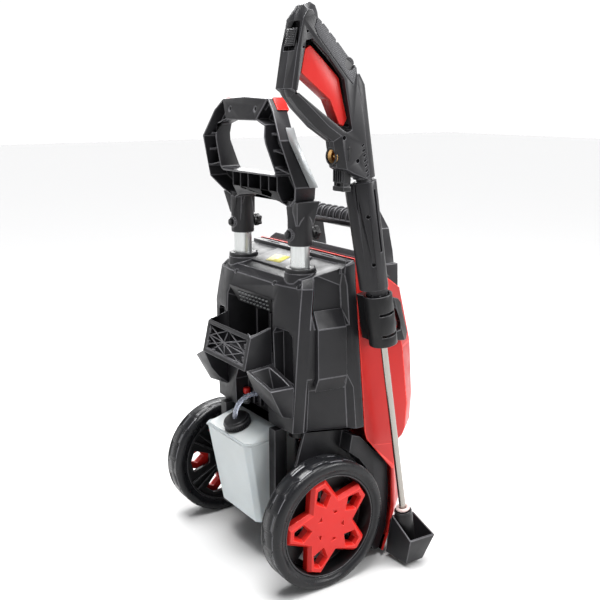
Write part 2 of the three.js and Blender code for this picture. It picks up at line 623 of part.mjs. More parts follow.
function starKnob() {
  const outline = [];
  for (let step = 0; step < 20; step++) {
    const angle = (step / 20) * 2 * Math.PI;
    const radius = step % 4 < 2 ? 11 : 8.5;
    outline.push([TUBE.x + radius * Math.cos(angle), HANDLE_BOLT_Z + radius * Math.sin(angle)]);
  }
  const head = prism("y", outline, -42, -33);
  const collarPart = cylinder("y", 8, -34, -28.4, TUBE.x, HANDLE_BOLT_Z, 16);
  return cut(join(head, collarPart), cylinder("y", 3.3, -36, -20, TUBE.x, HANDLE_BOLT_Z, 12));
}

// ---------------------------------------------------------------- wheels
function tyre() {
  const { radius, inner, outer, rim: seat, shoulder } = WHEEL;
  const bore = seat + GAP;
  const step = 93; // where the sidewall stands out the most
  const profile = [[bore, inner + 2], [step, inner], [radius - 4, inner + 2], [radius, inner + shoulder],
    [radius, outer - shoulder], [radius - 4, outer - 2], [step, outer], [bore, outer - 2], [bore, inner + 2]];
  return turned("x", profile, 0, WHEEL.z, 40);
}

function rim() {
  const { rim: edge, barrel, inner, outer } = WHEEL;
  const band = ring("x", barrel, edge, inner + 3, outer - 3, 0, WHEEL.z, 40);
  const web = cylinder("x", barrel + 1, 150, 157, 0, WHEEL.z, 40);
  const hub = cylinder("x", 22, inner + 1, 165, 0, WHEEL.z);
  const windows = [];
  for (let lobe = 0; lobe < STAR.lobes; lobe++) {
    const a = STAR.turn + (lobe * 360) / STAR.lobes;
    const corners = [[34, -16], [72, -24], [75, 0], [72, 24], [34, 16]];
    windows.push(prism("x", corners.map(([radius, turn]) => polar(radius, a + turn)), 140, 165));
  }
  return cut(join(band, web, hub), cylinder("x", AXLE.radius + GAP, 130, 170, 0, WHEEL.z), ...windows);
}

function hubCap() {
  const { lobes, turn, tip, tipHalf, valley, back, front } = STAR;
  const outline = [];
  const holes = [];
  for (let lobe = 0; lobe < lobes; lobe++) {
    const a = turn + (lobe * 360) / lobes;
    outline.push(polar(tip, a - tipHalf), polar(tip, a + tipHalf), polar(valley, a + 180 / lobes));
    holes.push([polar(62, a - 9), polar(62, a + 9), polar(47, a + 17), polar(38, a), polar(47, a - 17)]);
  }
  return prism("x", outline, back, front, holes);
}

// ---------------------------------------------------------------- spray gun and lance
// The side view of the gun as (y, z), and the window for the fingers.
const GUN_OUTLINE = [[53, 872], [58, 878], [66, 876], [71, 868], [81, 829], [90, 777], [84, 773],
  [56, 751], [28, 727], [6, 714], [0, 694], [-4, 667], [-16, 661], [-46, 650], [-39, 697], [-33, 736],
  [-21, 784], [-18, 806], [-8, 814], [3, 821], [20, 839], [41, 859]];
const GUN_WINDOW = [[57, 842], [29, 819], [3, 791], [-3, 765], [-12, 722], [-3, 718], [30, 737],
  [81, 774], [67, 839]];
// The gun's head, its hand guard and the block under it bulge in the middle: each pair is the middle's
// outline, then the sides'.
const HEAD = [
  [[71, 872], [64, 885], [54, 889], [45, 885], [41, 876], [47, 862], [72, 862]],
  [[72, 866], [64, 878], [57, 878], [53, 871], [47, 862], [72, 862]],
];
const GUARD = [
  [[90, 776], [86, 766], [73, 751], [45, 726], [13, 706], [0, 716], [78, 771]],
  [[84, 774], [56, 752], [28, 727], [7, 714], [-2, 718], [77, 771]],
];
const GUN_BLOCK = [
  [[13, 706], [9, 681], [6, 669], [-14, 658], [-45, 651], [-39, 697], [-8, 716]],
  [[6, 714], [-1, 694], [-4, 667], [-16, 661], [-46, 651], [-39, 697], [-8, 716]],
];
const TRIGGER = [[54, 834], [27, 811], [6, 792], [-1, 764], [-9, 737], [-3, 727], [5, 730], [21, 763],
  [69, 798], [63, 828]];
const TRIGGER_HALF = 11.5;
// The slot in the grip that the trigger is squeezed into.
const TRIGGER_SLOT = [[58, 842], [40, 846], [12, 822], [-10, 800], [-16, 764], [-17, 730], [-6, 722],
  [40, 790]];
const LOCK = [[75, 832], [81.5, 832.5], [76.5, 855], [69, 854]];
const LOCK_HALF = 12;
const LOCK_SEAT = [[73.5, 826], [92, 826], [84, 864], [65, 864]];

// The soft grip's outline. It stands proud of the grip's sides and covers its front edge.
const OVERLAY = [[53, 856], [49, 869], [39, 861.5], [18, 841.5], [2, 825], [-6, 817], [-15, 810],
  [-17, 800], [-13, 783], [-4, 791], [48, 846]];
const OVERLAY_HALF = 17; // half the grip's thickness under the soft grip
const BARREL = { radius: 16.5, from: 175, shoulder: 306, to: 322, tip: 11 }; // the round cover, up the lance
const LANCE_SOCKET = { radius: 12.3, to: 212 };
const KNUCKLE = { y: -6, z: 811, radius: 9 }; // the round boss where the grip meets the barrel
const INLET_Z = 685;
const FORK = { y: -10, half: 12 };

// A solid together with copies of itself moved by the gap, which is the room that it needs.
function room(made) {
  const steps = [[0, GAP, 0], [0, -GAP, 0], [0, 0, GAP], [0, 0, -GAP]];
  return join(made, ...steps.map((step) => made.translate(step)));
}

// A member of the gun whose middle bulges beyond its sides.
function bulged([middle, sides]) {
  const at = (outline, half) => atEachX([LANCE.x - half, LANCE.x + half], outline);
  return hull([...at(middle, 9), ...at(sides, LANCE.x - GUN.outer)]);
}

function gunHalf(from, to) {
  const { radius, from: low, shoulder, to: high, tip } = BARREL;
  const profile = [[0, low], [radius, low], [radius, shoulder], [tip, high], [0, high]];
  const barrel = alongLance(turned("z", profile));
  const frame = prism("x", GUN_OUTLINE, GUN.outer, GUN.inner, [GUN_WINDOW]);
  const { y: knuckleY, z: knuckleZ, radius: knuckleRadius } = KNUCKLE;
  const knuckle = cylinder("x", knuckleRadius, GUN.outer + 2, GUN.inner - 2, knuckleY, knuckleZ, 20);
  const gun = join(frame, bulged(HEAD), bulged(GUARD), bulged(GUN_BLOCK), barrel, knuckle);
  const body = gun.intersect(box(from, to, -120, 120, 600, 920));
  const slot = acrossLance(TRIGGER_SLOT, TRIGGER_HALF + 1);
  const lockSeat = acrossLance(LOCK_SEAT, LOCK_HALF + 1.3);
  const cheek = (a, b) => room(prism("x", OVERLAY, a, b));
  const seats = [cheek(-230, LANCE.x - OVERLAY_HALF), cheek(LANCE.x + OVERLAY_HALF, -150)];
  const inlet = cylinder("y", 12.3, -14, 60, LANCE.x, INLET_Z);
  const fork = box(LANCE.x - FORK.half - 1, LANCE.x + FORK.half + 1, FORK.y - 8, FORK.y + 7, 646, 672);
  const socket = alongLance(cylinder("z", LANCE_SOCKET.radius, 150, LANCE_SOCKET.to));
  return cut(body, slot, lockSeat, ...seats, inlet, fork, socket);
}

// The soft grip: two cheeks on the gun's sides, joined over its front edge.
function gripOverlay() {
  const outer = prism("x", OVERLAY, GUN.outer - 1, GUN.inner + 1);
  const core = room(join(acrossLance(GUN_OUTLINE, OVERLAY_HALF + GAP), bulged(HEAD)));
  const { y, z, radius } = KNUCKLE;
  const knuckle = cylinder("x", radius + GAP, GUN.outer - 5, GUN.inner + 5, y, z, 20);
  const barrel = alongLance(cylinder("z", BARREL.radius + GAP, 300, 330));
  return cut(outer, core, knuckle, barrel);
}

// Distances along the lance are from its reference point.
const alongLance = (made) => made.rotate([-LANCE.lean, 0, 0]).translate([LANCE.x, LANCE.y, LANCE.z]);
// A prism from its (y, z) outline, half thick on each side of the lance's plane.
const acrossLance = (outline, half) => prism("x", outline, LANCE.x - half, LANCE.x + half);

const trigger = () => acrossLance(TRIGGER, TRIGGER_HALF);
const triggerLock = () => acrossLance(LOCK, LOCK_HALF);

const INLET_PROFILE = [[0, -12], [12, -12], [12, 9], [9.5, 9], [6, 5], [6, -4], [0, -4]];
const hoseInlet = () => turned("y", INLET_PROFILE, LANCE.x, INLET_Z);

function bayonetFork() {
  const { y, half } = FORK;
  const head = box(LANCE.x - half, LANCE.x + half, y - 7, y + 6, 646.5, 670);
  const prongs = [LANCE.x - 8, LANCE.x + 8].map((x) => box(x - 3.5, x + 3.5, y - 6, y + 6, 640, 650));
  const base = box(LANCE.x - half - 1, LANCE.x + half + 1, y - 7, y + 7, 635, 642);
  return join(head, ...prongs, base);
}

// The sleeve's section is a round of one radius drawn out to a smaller one at its back edge; the reach
// between their middles grows from the foot to the top.
const LANCE_SLEEVE = { front: 18, back: 16, turn: 55, foot: 10.7, top: 14.4 };

function lanceSleeve() {
  const turn = (LANCE_SLEEVE.turn * Math.PI) / 180;
  const points = [];
  for (const [z, reach] of [[4, LANCE_SLEEVE.foot], [170, LANCE_SLEEVE.top]]) {
    for (const [radius, out] of [[LANCE_SLEEVE.front, 0], [LANCE_SLEEVE.back, reach]]) {
      for (let k = 0; k < 12; k += 1) {
        const angle = (k * Math.PI) / 6;
        points.push([out * Math.cos(turn) + radius * Math.cos(angle),
          out * Math.sin(turn) + radius * Math.sin(angle), z]);
      }
    }
  }
  return hull(points);
}

function lanceExtension() {
  const sleeve = lanceSleeve();
  const spigot = cylinder("z", LANCE_SOCKET.radius - GAP, 170, LANCE_SOCKET.to - 2);
  const tail = turned("z", [[0, -58], [13, -58], [16.5, -50], [16.5, 5], [0, 5]]);
  const pipeHole = cylinder("z", 5.8, -70, 160);
  return alongLance(cut(join(sleeve, spigot, tail), pipeHole));
}

const lancePipe = () => alongLance(cylinder("z", 5.5, -420, 158, 0, 0, 16));

const NOZZLE = { bottom: -474, top: -392, ring: -386, radius: 15 };

function nozzle() {
  const { bottom, top, radius } = NOZZLE;
  const profile = [[0, bottom], [9, bottom], [radius - 1, bottom + 10], [radius, top - 8], [radius - 1, top],
    [0, top]];
  const seat = cylinder("z", 5.8, -420.4, -300, 0, 0, 16);
  const orifice = cylinder("z", 2, bottom - 10, -440, 0, 0, 12);
  return alongLance(cut(turned("z", profile), seat, orifice));
}

const nozzleRing = () => alongLance(ring("z", 5.8, 11, NOZZLE.top + GAP, NOZZLE.ring));

// The clip's plate on the housing, the gap round its finger, and the finger, as (y, z).
const CLIP_PLATE = [[-82, 442], [-92, 442], [-92, 462], [-134, 456], [-160, 448], [-168, 440],
  [-181, 388], [-173, 378], [-100, 386], [-92, 400], [-92, 412], [-82, 412]];
const CLIP_GAP = [[-126, 437], [-150, 434], [-154, 425], [-160, 411], [-159, 397], [-122, 392]];
const CLIP_FINGER = [[-112, 430], [-146, 429], [-152, 408], [-148, 401], [-112, 401]];

function lanceClip() {
  const ringPart = alongLance(ring("z", 18.6, 22.5, -88, -6));
  const plate = cut(prism("x", CLIP_PLATE, -175, -110), prism("x", CLIP_GAP, -180, -100));
  const finger = prism("x", CLIP_FINGER, -175, -110);
  const skin = join(plate, finger).intersect(frontShell(10, 8, 30));
  const bridge = alongLance(box(14, 38, -16, 12, -84, -10));
  const bore = alongLance(cylinder("z", 18.6, -120, 20));
  const slots = alongLance(join(box(-30, -2, -14, 14, -37, -33), box(-30, -2, -14, 14, -72, -68)));
  return cut(join(ringPart, skin, bridge), bore, slots, sideOfHousing(), rearShell(GAP, 245, 0, -GAP));
}

// A block that fills the front housing's side out to its surface, with a gap, so brackets end against it.
const sideOfHousing = () => frontShell(GAP, 8, GAP);

// The scoop that the nozzle stands in: the corners of its mouth and of its floor.
const SCOOP = {
  mouth: [[-180, -131, 84], [-226, -133, 54], [-226, -188, 51], [-170, -189, 70]],
  floor: [[-162, -135, 6], [-213, -137, 5], [-213, -174, 5], [-162, -174, 6]],
  middle: [-194, -159],
};

function lanceHolster() {
  const { mouth, floor, middle } = SCOOP;
  const inwards = (value, target) => value + WALL * Math.sign(target - value);
  const shrunk = (points, lift) =>
    points.map(([x, y, z]) => [inwards(x, middle[0]), inwards(y, middle[1]), z + lift]);
  const outer = hull([...mouth, ...floor]);
  const inner = hull([...shrunk(floor, WALL), ...shrunk(mouth, 0), ...shrunk(mouth, 70)]);
  const bracket = box(-175, -151.5, -182, -146, 10, 64);
  return cut(join(outer, bracket), inner, sideOfHousing());
}

// ---------------------------------------------------------------- assembly
const machine = new THREE.Group();

function add(name, made, look) {
  const mesh = new THREE.Mesh(geometryOf(made), new THREE.MeshStandardMaterial(COLOURS[look]));
  mesh.name = name;
  machine.add(mesh);
}

// The machine's left side, seen by a user behind the handle, is -X: the side with the lance.
function addPair(name, made, look) {
  add(name + "_right", made, look);
  add(name + "_left", mirrorX(made), look);
}

add("chassis", chassis(), "charcoal");
addPair("foot", foot(), "softBlack");
addPair("axle", axle(), "steel");
add("rear_housing", rearHousing(), "charcoal");
add("top_cover", topCover(), "charcoal");
add("front_housing", frontHousing(), "red");
add("front_panel", frontPanel(), "softBlack");
addPair("wheel_arch", wheelArch(), "charcoal");
add("motor", motor(), "steel");
add("pump_head", pumpHead(), "aluminium");
add("outlet_connector", outletConnector(), "brass");
add("inlet_connector", inletConnector(), "softBlack");
add("cord_gland", cordGland(), "softBlack");
add("switch_box", switchBox(), "softBlack");
add("switch_knob", switchKnob(), "red");
addPair("tube_socket", tubeSocket(), "softBlack");
add("basket", basket(), "charcoal");
addPair("pocket", pocket(), "charcoal");
add("tank", tank(), "tank");
add("tank_cap", tankCap(), "softBlack");
add("suction_tube", suctionTube(), "clear");
add("carry_handle", carryHandle(), "charcoal");
addPair("collar", collar(), "softBlack");
add("handle_loop", handleLoop(), "charcoal");
add("grip_cover", gripCover(), "charcoal");
addPair("corner_inset", cornerInset(), "red");
addPair("side_trim", sideTrim(), "silver");
addPair("handle_tube", handleTube(), "aluminium");
addPair("clamp_bolt", clampBolt(), "softBlack");
addPair("star_knob", starKnob(), "softBlack");
addPair("tyre", tyre(), "softBlack");
addPair("rim", rim(), "softBlack");
addPair("hub_cap", hubCap(), "red");
add("gun_half_outer", gunHalf(GUN.outer, LANCE.x - GAP / 2), "charcoal");
add("gun_half_inner", gunHalf(LANCE.x + GAP / 2, GUN.inner), "charcoal");
add("grip_overlay", gripOverlay(), "softBlack");
add("trigger", trigger(), "red");
add("trigger_lock", triggerLock(), "softBlack");
add("hose_inlet", hoseInlet(), "brass");
add("bayonet_fork", bayonetFork(), "softBlack");
add("lance_extension", lanceExtension(), "charcoal");
add("lance_pipe", lancePipe(), "steel");
add("nozzle", nozzle(), "softBlack");
add("nozzle_ring", nozzleRing(), "pale");
add("lance_clip", lanceClip(), "softBlack");
add("lance_holster", lanceHolster(), "charcoal");

// The origin moves to the bottom centre of the whole object's box.
const whole = new THREE.Box3().setFromObject(machine);
machine.position.set(-(whole.min.x + whole.max.x) / 2, -(whole.min.y + whole.max.y) / 2, -whole.min.z);

export default machine;
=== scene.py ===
"""The looks of an upright electric pressure washer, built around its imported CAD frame.

Every length below is in millimetres in the design's own axes: the origin is on the floor side, midway
between the wheels and 105 below their axle, +X is the machine's right, +Y its back and +Z up.
"""
import json
import math

import bmesh
import bpy
from mathutils import Matrix, Vector
from mathutils.geometry import tessellate_polygon

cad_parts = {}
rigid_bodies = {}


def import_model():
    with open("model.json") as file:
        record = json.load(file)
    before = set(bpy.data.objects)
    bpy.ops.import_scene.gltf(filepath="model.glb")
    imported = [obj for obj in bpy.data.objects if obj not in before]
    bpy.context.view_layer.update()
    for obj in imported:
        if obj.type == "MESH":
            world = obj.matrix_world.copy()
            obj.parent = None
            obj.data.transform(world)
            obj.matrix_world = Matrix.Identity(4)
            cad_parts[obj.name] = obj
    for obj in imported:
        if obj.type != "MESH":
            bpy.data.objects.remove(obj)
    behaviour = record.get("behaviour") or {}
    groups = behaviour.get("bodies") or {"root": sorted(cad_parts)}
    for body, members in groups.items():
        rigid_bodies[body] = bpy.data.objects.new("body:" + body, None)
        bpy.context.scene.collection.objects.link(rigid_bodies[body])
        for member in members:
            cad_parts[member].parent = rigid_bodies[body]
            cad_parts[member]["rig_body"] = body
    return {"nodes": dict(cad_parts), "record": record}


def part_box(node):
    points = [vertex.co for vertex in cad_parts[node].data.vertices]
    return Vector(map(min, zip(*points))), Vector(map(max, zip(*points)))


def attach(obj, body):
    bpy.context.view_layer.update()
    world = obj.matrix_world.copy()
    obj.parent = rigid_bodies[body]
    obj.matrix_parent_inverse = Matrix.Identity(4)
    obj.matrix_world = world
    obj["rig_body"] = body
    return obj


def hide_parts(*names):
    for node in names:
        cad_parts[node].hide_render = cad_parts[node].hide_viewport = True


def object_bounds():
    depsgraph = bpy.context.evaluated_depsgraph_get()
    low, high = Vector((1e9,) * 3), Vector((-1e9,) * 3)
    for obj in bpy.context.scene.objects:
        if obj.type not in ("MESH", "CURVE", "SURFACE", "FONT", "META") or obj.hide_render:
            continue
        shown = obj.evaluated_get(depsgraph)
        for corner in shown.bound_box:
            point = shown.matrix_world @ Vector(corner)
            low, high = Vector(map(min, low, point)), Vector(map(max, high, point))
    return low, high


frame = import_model()
cad_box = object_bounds()

# ---------------------------------------------------------------- places and sizes
MM = 0.001
right_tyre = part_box("tyre_right")
left_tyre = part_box("tyre_left")
AXLE = (right_tyre[0] + right_tyre[1]) / 2
AXLE_HEIGHT = 105
ORIGIN = Vector(((right_tyre[1].x + left_tyre[0].x) / 2, AXLE.y, AXLE.z - AXLE_HEIGHT * MM))
TO_ROW = Matrix.Translation(ORIGIN) @ Matrix.Scale(MM, 4)
FROM_ROW = TO_ROW.inverted()


LANCE = Vector((-190, -80, 480))
LEAN = math.radians(9.8)
ALONG_LANCE = Matrix.Translation(LANCE) @ Matrix.Rotation(-LEAN, 4, "X")
TUBE_X = 87
TUBE_Y = -8
BOLT_Z = 560
GUN_OUTER = -210

# ---------------------------------------------------------------- materials
def nodes_of(material):
    tree = material.node_tree
    return tree, tree.nodes["Principled BSDF"]


def add_node(tree, kind, **values):
    node = tree.nodes.new(kind)
    for key, value in values.items():
        if key in node.inputs:
            node.inputs[key].default_value = value
        else:
            setattr(node, key, value)
    return node


def ramp(tree, source, low, high, dark, light):
    """A colour ramp between two stops."""
    made = tree.nodes.new("ShaderNodeValToRGB")
    made.color_ramp.elements[0].position = low
    made.color_ramp.elements[1].position = high
    made.color_ramp.elements[0].color = dark
    made.color_ramp.elements[1].color = light
    tree.links.new(source, made.inputs["Fac"])
    return made.outputs["Color"]


def noise(tree, scale, detail=3.0, stretch=None):
    """Noise over the piece's own coordinates, which are metres; stretch scales each axis."""
    place = add_node(tree, "ShaderNodeTexCoord")
    source = place.outputs["Object"]
    if stretch:
        mapping = add_node(tree, "ShaderNodeMapping", Scale=stretch)
        tree.links.new(source, mapping.inputs["Vector"])
        source = mapping.outputs["Vector"]
    texture = add_node(tree, "ShaderNodeTexNoise", Scale=scale, Detail=detail)
    tree.links.new(source, texture.inputs["Vector"])
    return texture.outputs["Fac"]


def bump(tree, shader, heights):
    """Chains bumps from (height socket, distance in metres, strength)."""
    before = None
    for height, distance, strength in heights:
        made = add_node(tree, "ShaderNodeBump", Distance=distance, Strength=strength)
        tree.links.new(height, made.inputs["Height"])
        if before:
            tree.links.new(before, made.inputs["Normal"])
        before = made.outputs["Normal"]
    tree.links.new(before, shader.inputs["Normal"])


def surface(name, colour, rough, spread=0.12, grain=1400, depth=0.00006, **sockets):
    """A moulded or cast surface with uneven colour, uneven gloss and a fine grain."""
    material = bpy.data.materials.new(name)
    material.use_nodes = True
    tree, shader = nodes_of(material)
    dark = tuple(c * (1 - spread) for c in colour) + (1,)
    light = tuple(min(1, c * (1 + spread)) for c in colour) + (1,)
    base = ramp(tree, noise(tree, 14, 4), 0.35, 0.65, dark, light)
    tree.links.new(base, shader.inputs["Base Color"])
    shader.inputs["Specular IOR Level"].default_value = 0.28
    low, high = max(0.02, rough - 0.07), min(1, rough + 0.07)
    gloss = ramp(tree, noise(tree, 55, 5), 0.3, 0.7, (low, low, low, 1), (high, high, high, 1))
    tree.links.new(gloss, shader.inputs["Roughness"])
    bump(tree, shader, [(noise(tree, grain, 2), depth, 0.5)])
    for key, value in sockets.items():
        shader.inputs[key.replace("_", " ")].default_value = value
    return material


def brushed(name, colour, rough, stretch, depth=0.00004):
    """A metal drawn or brushed along one axis, with fine lines that way."""
    material = bpy.data.materials.new(name)
    material.use_nodes = True
    tree, shader = nodes_of(material)
    shader.inputs["Metallic"].default_value = 1
    lines = noise(tree, 900, 3, stretch)
    dark = tuple(c * 0.86 for c in colour) + (1,)
    tree.links.new(ramp(tree, lines, 0.3, 0.7, dark, (*colour, 1)), shader.inputs["Base Color"])
    low, high = rough - 0.06, rough + 0.08
    tree.links.new(ramp(tree, noise(tree, 40), 0.3, 0.7, (low,) * 3 + (1,), (high,) * 3 + (1,)),
                   shader.inputs["Roughness"])
    bump(tree, shader, [(lines, depth, 0.4)])
    return material


def tank_plastic():
    """Milky blown plastic that lets some light through and is slightly uneven."""
    material = surface("tank_plastic", (0.50, 0.55, 0.57), 0.36, 0.05, 260, 0.00014)
    shader = nodes_of(material)[1]
    shader.inputs["Subsurface Weight"].default_value = 0.5
    shader.inputs["Subsurface Radius"].default_value = (0.02, 0.024, 0.028)
    shader.inputs["Subsurface Scale"].default_value = 0.6
    return material


def clear_plastic():
    material = surface("clear_plastic", (0.72, 0.77, 0.90), 0.1, 0.05, 500, 0.00002)
    shader = nodes_of(material)[1]
    shader.inputs["Transmission Weight"].default_value = 0.75
    shader.inputs["IOR"].default_value = 1.4
    return material


def hatched_rubber():
    """Soft grip with fine slanted ridges moulded into it."""
    material = surface("soft_rubber", (0.060, 0.060, 0.064), 0.5, 0.1, 1600, 0.00005)
    tree, shader = nodes_of(material)
    place = add_node(tree, "ShaderNodeTexCoord")
    mapping = add_node(tree, "ShaderNodeMapping", Rotation=(math.radians(28), 0, 0))
    tree.links.new(place.outputs["Object"], mapping.inputs["Vector"])
    wave = add_node(tree, "ShaderNodeTexWave", Scale=130.0, Distortion=0.4, bands_direction="Z")
    tree.links.new(mapping.outputs["Vector"], wave.inputs["Vector"])
    bump(tree, shader, [(wave.outputs["Fac"], 0.0006, 0.9), (noise(tree, 1500, 2), 0.00005, 0.5)])
    return material


CHARCOAL = (0.0105, 0.0103, 0.0118)
BLACK = (0.0052, 0.0052, 0.0058)
RED = (0.47, 0.012, 0.009)
MATERIALS = {
    "charcoal_plastic": surface("charcoal_plastic", CHARCOAL, 0.42),
    "black_plastic": surface("black_plastic", BLACK, 0.4),
    "red_plastic": surface("red_plastic", RED, 0.36, 0.05, 900, 0.00004),
    "silver_plastic": surface("silver_plastic", (0.27, 0.28, 0.285), 0.34, 0.05, 1500, Metallic=0.5),
    "soft_rubber": hatched_rubber(),
    "tyre_rubber": surface("tyre_rubber", (0.0065, 0.0067, 0.0078), 0.3, 0.12, 700, 0.00006),
    "tube_aluminium": brushed("tube_aluminium", (0.72, 0.74, 0.73), 0.3, (1, 1, 0.03)),
    "pump_aluminium": surface("pump_aluminium", (0.55, 0.56, 0.57), 0.45, 0.1, 500, 0.0002, Metallic=1.0),
    "motor_steel": surface("motor_steel", (0.09, 0.095, 0.10), 0.45, 0.1, 700, 0.0001),
    "bright_steel": brushed("bright_steel", (0.36, 0.34, 0.31), 0.2, (1, 1, 0.02)),
    "black_steel": surface("black_steel", (0.02, 0.02, 0.022), 0.3, 0.15, 900, 0.00004, Metallic=0.5),
    "brass": surface("brass", (0.50, 0.30, 0.12), 0.28, 0.1, 900, 0.00005, Metallic=1.0),
    "tank_plastic": tank_plastic(),
    "clear_plastic": clear_plastic(),
    "pale_plastic": surface("pale_plastic", (0.52, 0.40, 0.38), 0.3, 0.05, 700, 0.00003),
}
# The rounded edges of these take a lighter copy of their colour: a painted highlight where the edges catch the
# light.
EDGE_HIGHLIGHTS = {
    "charcoal_plastic": surface("charcoal_edge_highlight", (0.075, 0.074, 0.080), 0.3, 0.2),
    "black_plastic": surface("black_edge_highlight", (0.045, 0.045, 0.048), 0.3, 0.2),
    "red_plastic": surface("red_edge_highlight", (0.60, 0.030, 0.022), 0.3, 0.05, 900, 0.00004),
}
# A darker copy of the red plastic for the front housing: painted shade.
SHADED_RED = surface("red_shell_painted_shade", (0.36, 0.009, 0.007), 0.36, 0.05, 900, 0.00004)
# A paler rubber for the lips of the tread's grooves: painted highlight.
TREAD_GLINT = surface("tread_glint", (0.10, 0.10, 0.108), 0.3, 0.2)
LABEL = surface("label_film", (0.56, 0.50, 0.13), 0.35, 0.04, 400, 0.00002)
SLOT_OF = {row["node"]: row["material_slot"] for row in frame["record"]["subparts"]}

# ---------------------------------------------------------------- solids in the design's millimetres
def box(x0, x1, y0, y1, z0, z1):
    bm = bmesh.new()
    bmesh.ops.create_cube(bm, size=1)
    size = Matrix.Diagonal((x1 - x0, y1 - y0, z1 - z0, 1))
    bm.transform(Matrix.Translation(((x0 + x1) / 2, (y0 + y1) / 2, (z0 + z1) / 2)) @ size)
    return bm


def hull(points):
    bm = bmesh.new()
    for point in points:
        bm.verts.new(point)
    made = bmesh.ops.convex_hull(bm, input=bm.verts)
    spare = {g for g in made["geom_unused"] + made["geom_interior"] if isinstance(g, bmesh.types.BMVert)}
    bmesh.ops.delete(bm, geom=list(spare), context="VERTS")
    bmesh.ops.dissolve_limit(bm, angle_limit=0.01, verts=bm.verts, edges=bm.edges)
    return bm


AXES = {
    "x": lambda u, v, w: (w, u, v),
    "y": lambda u, v, w: (u, w, v),
    "z": lambda u, v, w: (u, v, w),
}


def grid(rows, close_rows=True):
    """A skin over rows of points of one count, closed round each row."""
    bm = bmesh.new()
    made = [[bm.verts.new(point) for point in row] for row in rows]
    count = len(made[0])
    pairs = list(zip(made, made[1:] + made[:1])) if close_rows else list(zip(made, made[1:]))
    for low, high in pairs:
        for i in range(count):
            j = (i + 1) % count
            bm.faces.new((low[i], low[j], high[j], high[i]))
    return bm


def lathe(axis, profile, u=0, v=0, segments=96):
    """A closed solid of revolution: profile is [radius, distance along the axis], closed on itself or
    with both ends on the axis."""
    place = AXES[axis]
    solid_end = profile[0][0] == 0 and profile[-1][0] == 0
    rim = profile[1:-1] if solid_end else profile
    rows = []
    for radius, along in rim:
        turns = [2 * math.pi * k / segments for k in range(segments)]
        rows.append([place(u + radius * math.cos(t), v + radius * math.sin(t), along) for t in turns])
    bm = grid(rows, close_rows=not solid_end)
    if solid_end:
        bm.verts.ensure_lookup_table()
        for start, tip in ((0, profile[0]), (len(bm.verts) - segments, profile[-1])):
            bm.verts.ensure_lookup_table()
            ring = [bm.verts[start + k] for k in range(segments)]
            centre = bm.verts.new(place(u, v, tip[1]))
            for k in range(segments):
                bm.faces.new((ring[k], ring[(k + 1) % segments], centre))
    bmesh.ops.recalc_face_normals(bm, faces=bm.faces)
    return bm


def cylinder(axis, radius, start, end, u=0, v=0, segments=32):
    return lathe(axis, [[0, start], [radius, start], [radius, end], [0, end]], u, v, segments)


def prism(axis, outline, start, end, holes=()):
    """An extruded outline with holes: (y, z) across x, (x, z) across y, (x, y) across z."""
    place = AXES[axis]
    loops = [list(outline), *[list(hole) for hole in holes]]
    bm = bmesh.new()
    flat = [[Vector((u, v, 0)) for u, v in loop] for loop in loops]
    low = [bm.verts.new(place(u, v, start)) for loop in loops for u, v in loop]
    high = [bm.verts.new(place(u, v, end)) for loop in loops for u, v in loop]
    for a, b, c in tessellate_polygon(flat):
        bm.faces.new((low[a], low[b], low[c]))
        bm.faces.new((high[a], high[b], high[c]))
    first = 0
    for loop in loops:
        count = len(loop)
        for i in range(count):
            j = (i + 1) % count
            bm.faces.new((low[first + i], low[first + j], high[first + j], high[first + i]))
        first += count
    bmesh.ops.recalc_face_normals(bm, faces=bm.faces)
    bmesh.ops.dissolve_limit(bm, angle_limit=0.01, verts=bm.verts, edges=bm.edges)
    return bm


def smooth_path(points, steps):
    """Catmull-Rom points through the given ones."""
    ends = [points[0], *points, points[-1]]
    path = []
    for i in range(1, len(ends) - 2):
        p0, p1, p2, p3 = (Vector(ends[i + k]) for k in (-1, 0, 1, 2))
        for step in range(steps):
            t = step / steps
            path.append(0.5 * ((2 * p1) + (p2 - p0) * t + (2 * p0 - 5 * p1 + 4 * p2 - p3) * t * t
                               + (3 * p1 - p0 - 3 * p2 + p3) * t ** 3))
    path.append(Vector(points[-1]))
    return path


def tube(path, radius, sides=16):
    """A solid round tube along a path of points."""
    rows = []
    up = Vector((1, 0.2, 0.1))
    for i, point in enumerate(path):
        ahead = path[min(i + 1, len(path) - 1)] - path[max(i - 1, 0)]
        side = ahead.cross(up).normalized()
        up = side.cross(ahead).normalized()
        turns = [2 * math.pi * k / sides for k in range(sides)]
        rows.append([point + side * (radius * math.cos(t)) + up * (radius * math.sin(t)) for t in turns])
    bm = grid(rows, close_rows=False)
    bm.verts.ensure_lookup_table()
    bm.faces.new([bm.verts[k] for k in range(sides)])
    bm.faces.new([bm.verts[len(rows) * sides - 1 - k] for k in range(sides)])
    bmesh.ops.recalc_face_normals(bm, faces=bm.faces)
    return bm


def moved(bm, matrix):
    bm.transform(matrix)
    if matrix.determinant() < 0:
        bmesh.ops.reverse_faces(bm, faces=bm.faces)
    return bm


MIRROR = Matrix.Scale(-1, 4, (1, 0, 0))


def joined(parts):
    """One bmesh that holds several solids."""
    whole = bmesh.new()
    for part in parts:
        mesh = bpy.data.meshes.new("part")
        part.to_mesh(mesh)
        whole.from_mesh(mesh)
        bpy.data.meshes.remove(mesh)
    return whole


def both_sides(bm):
    return joined([bm, moved(bm.copy(), MIRROR)])


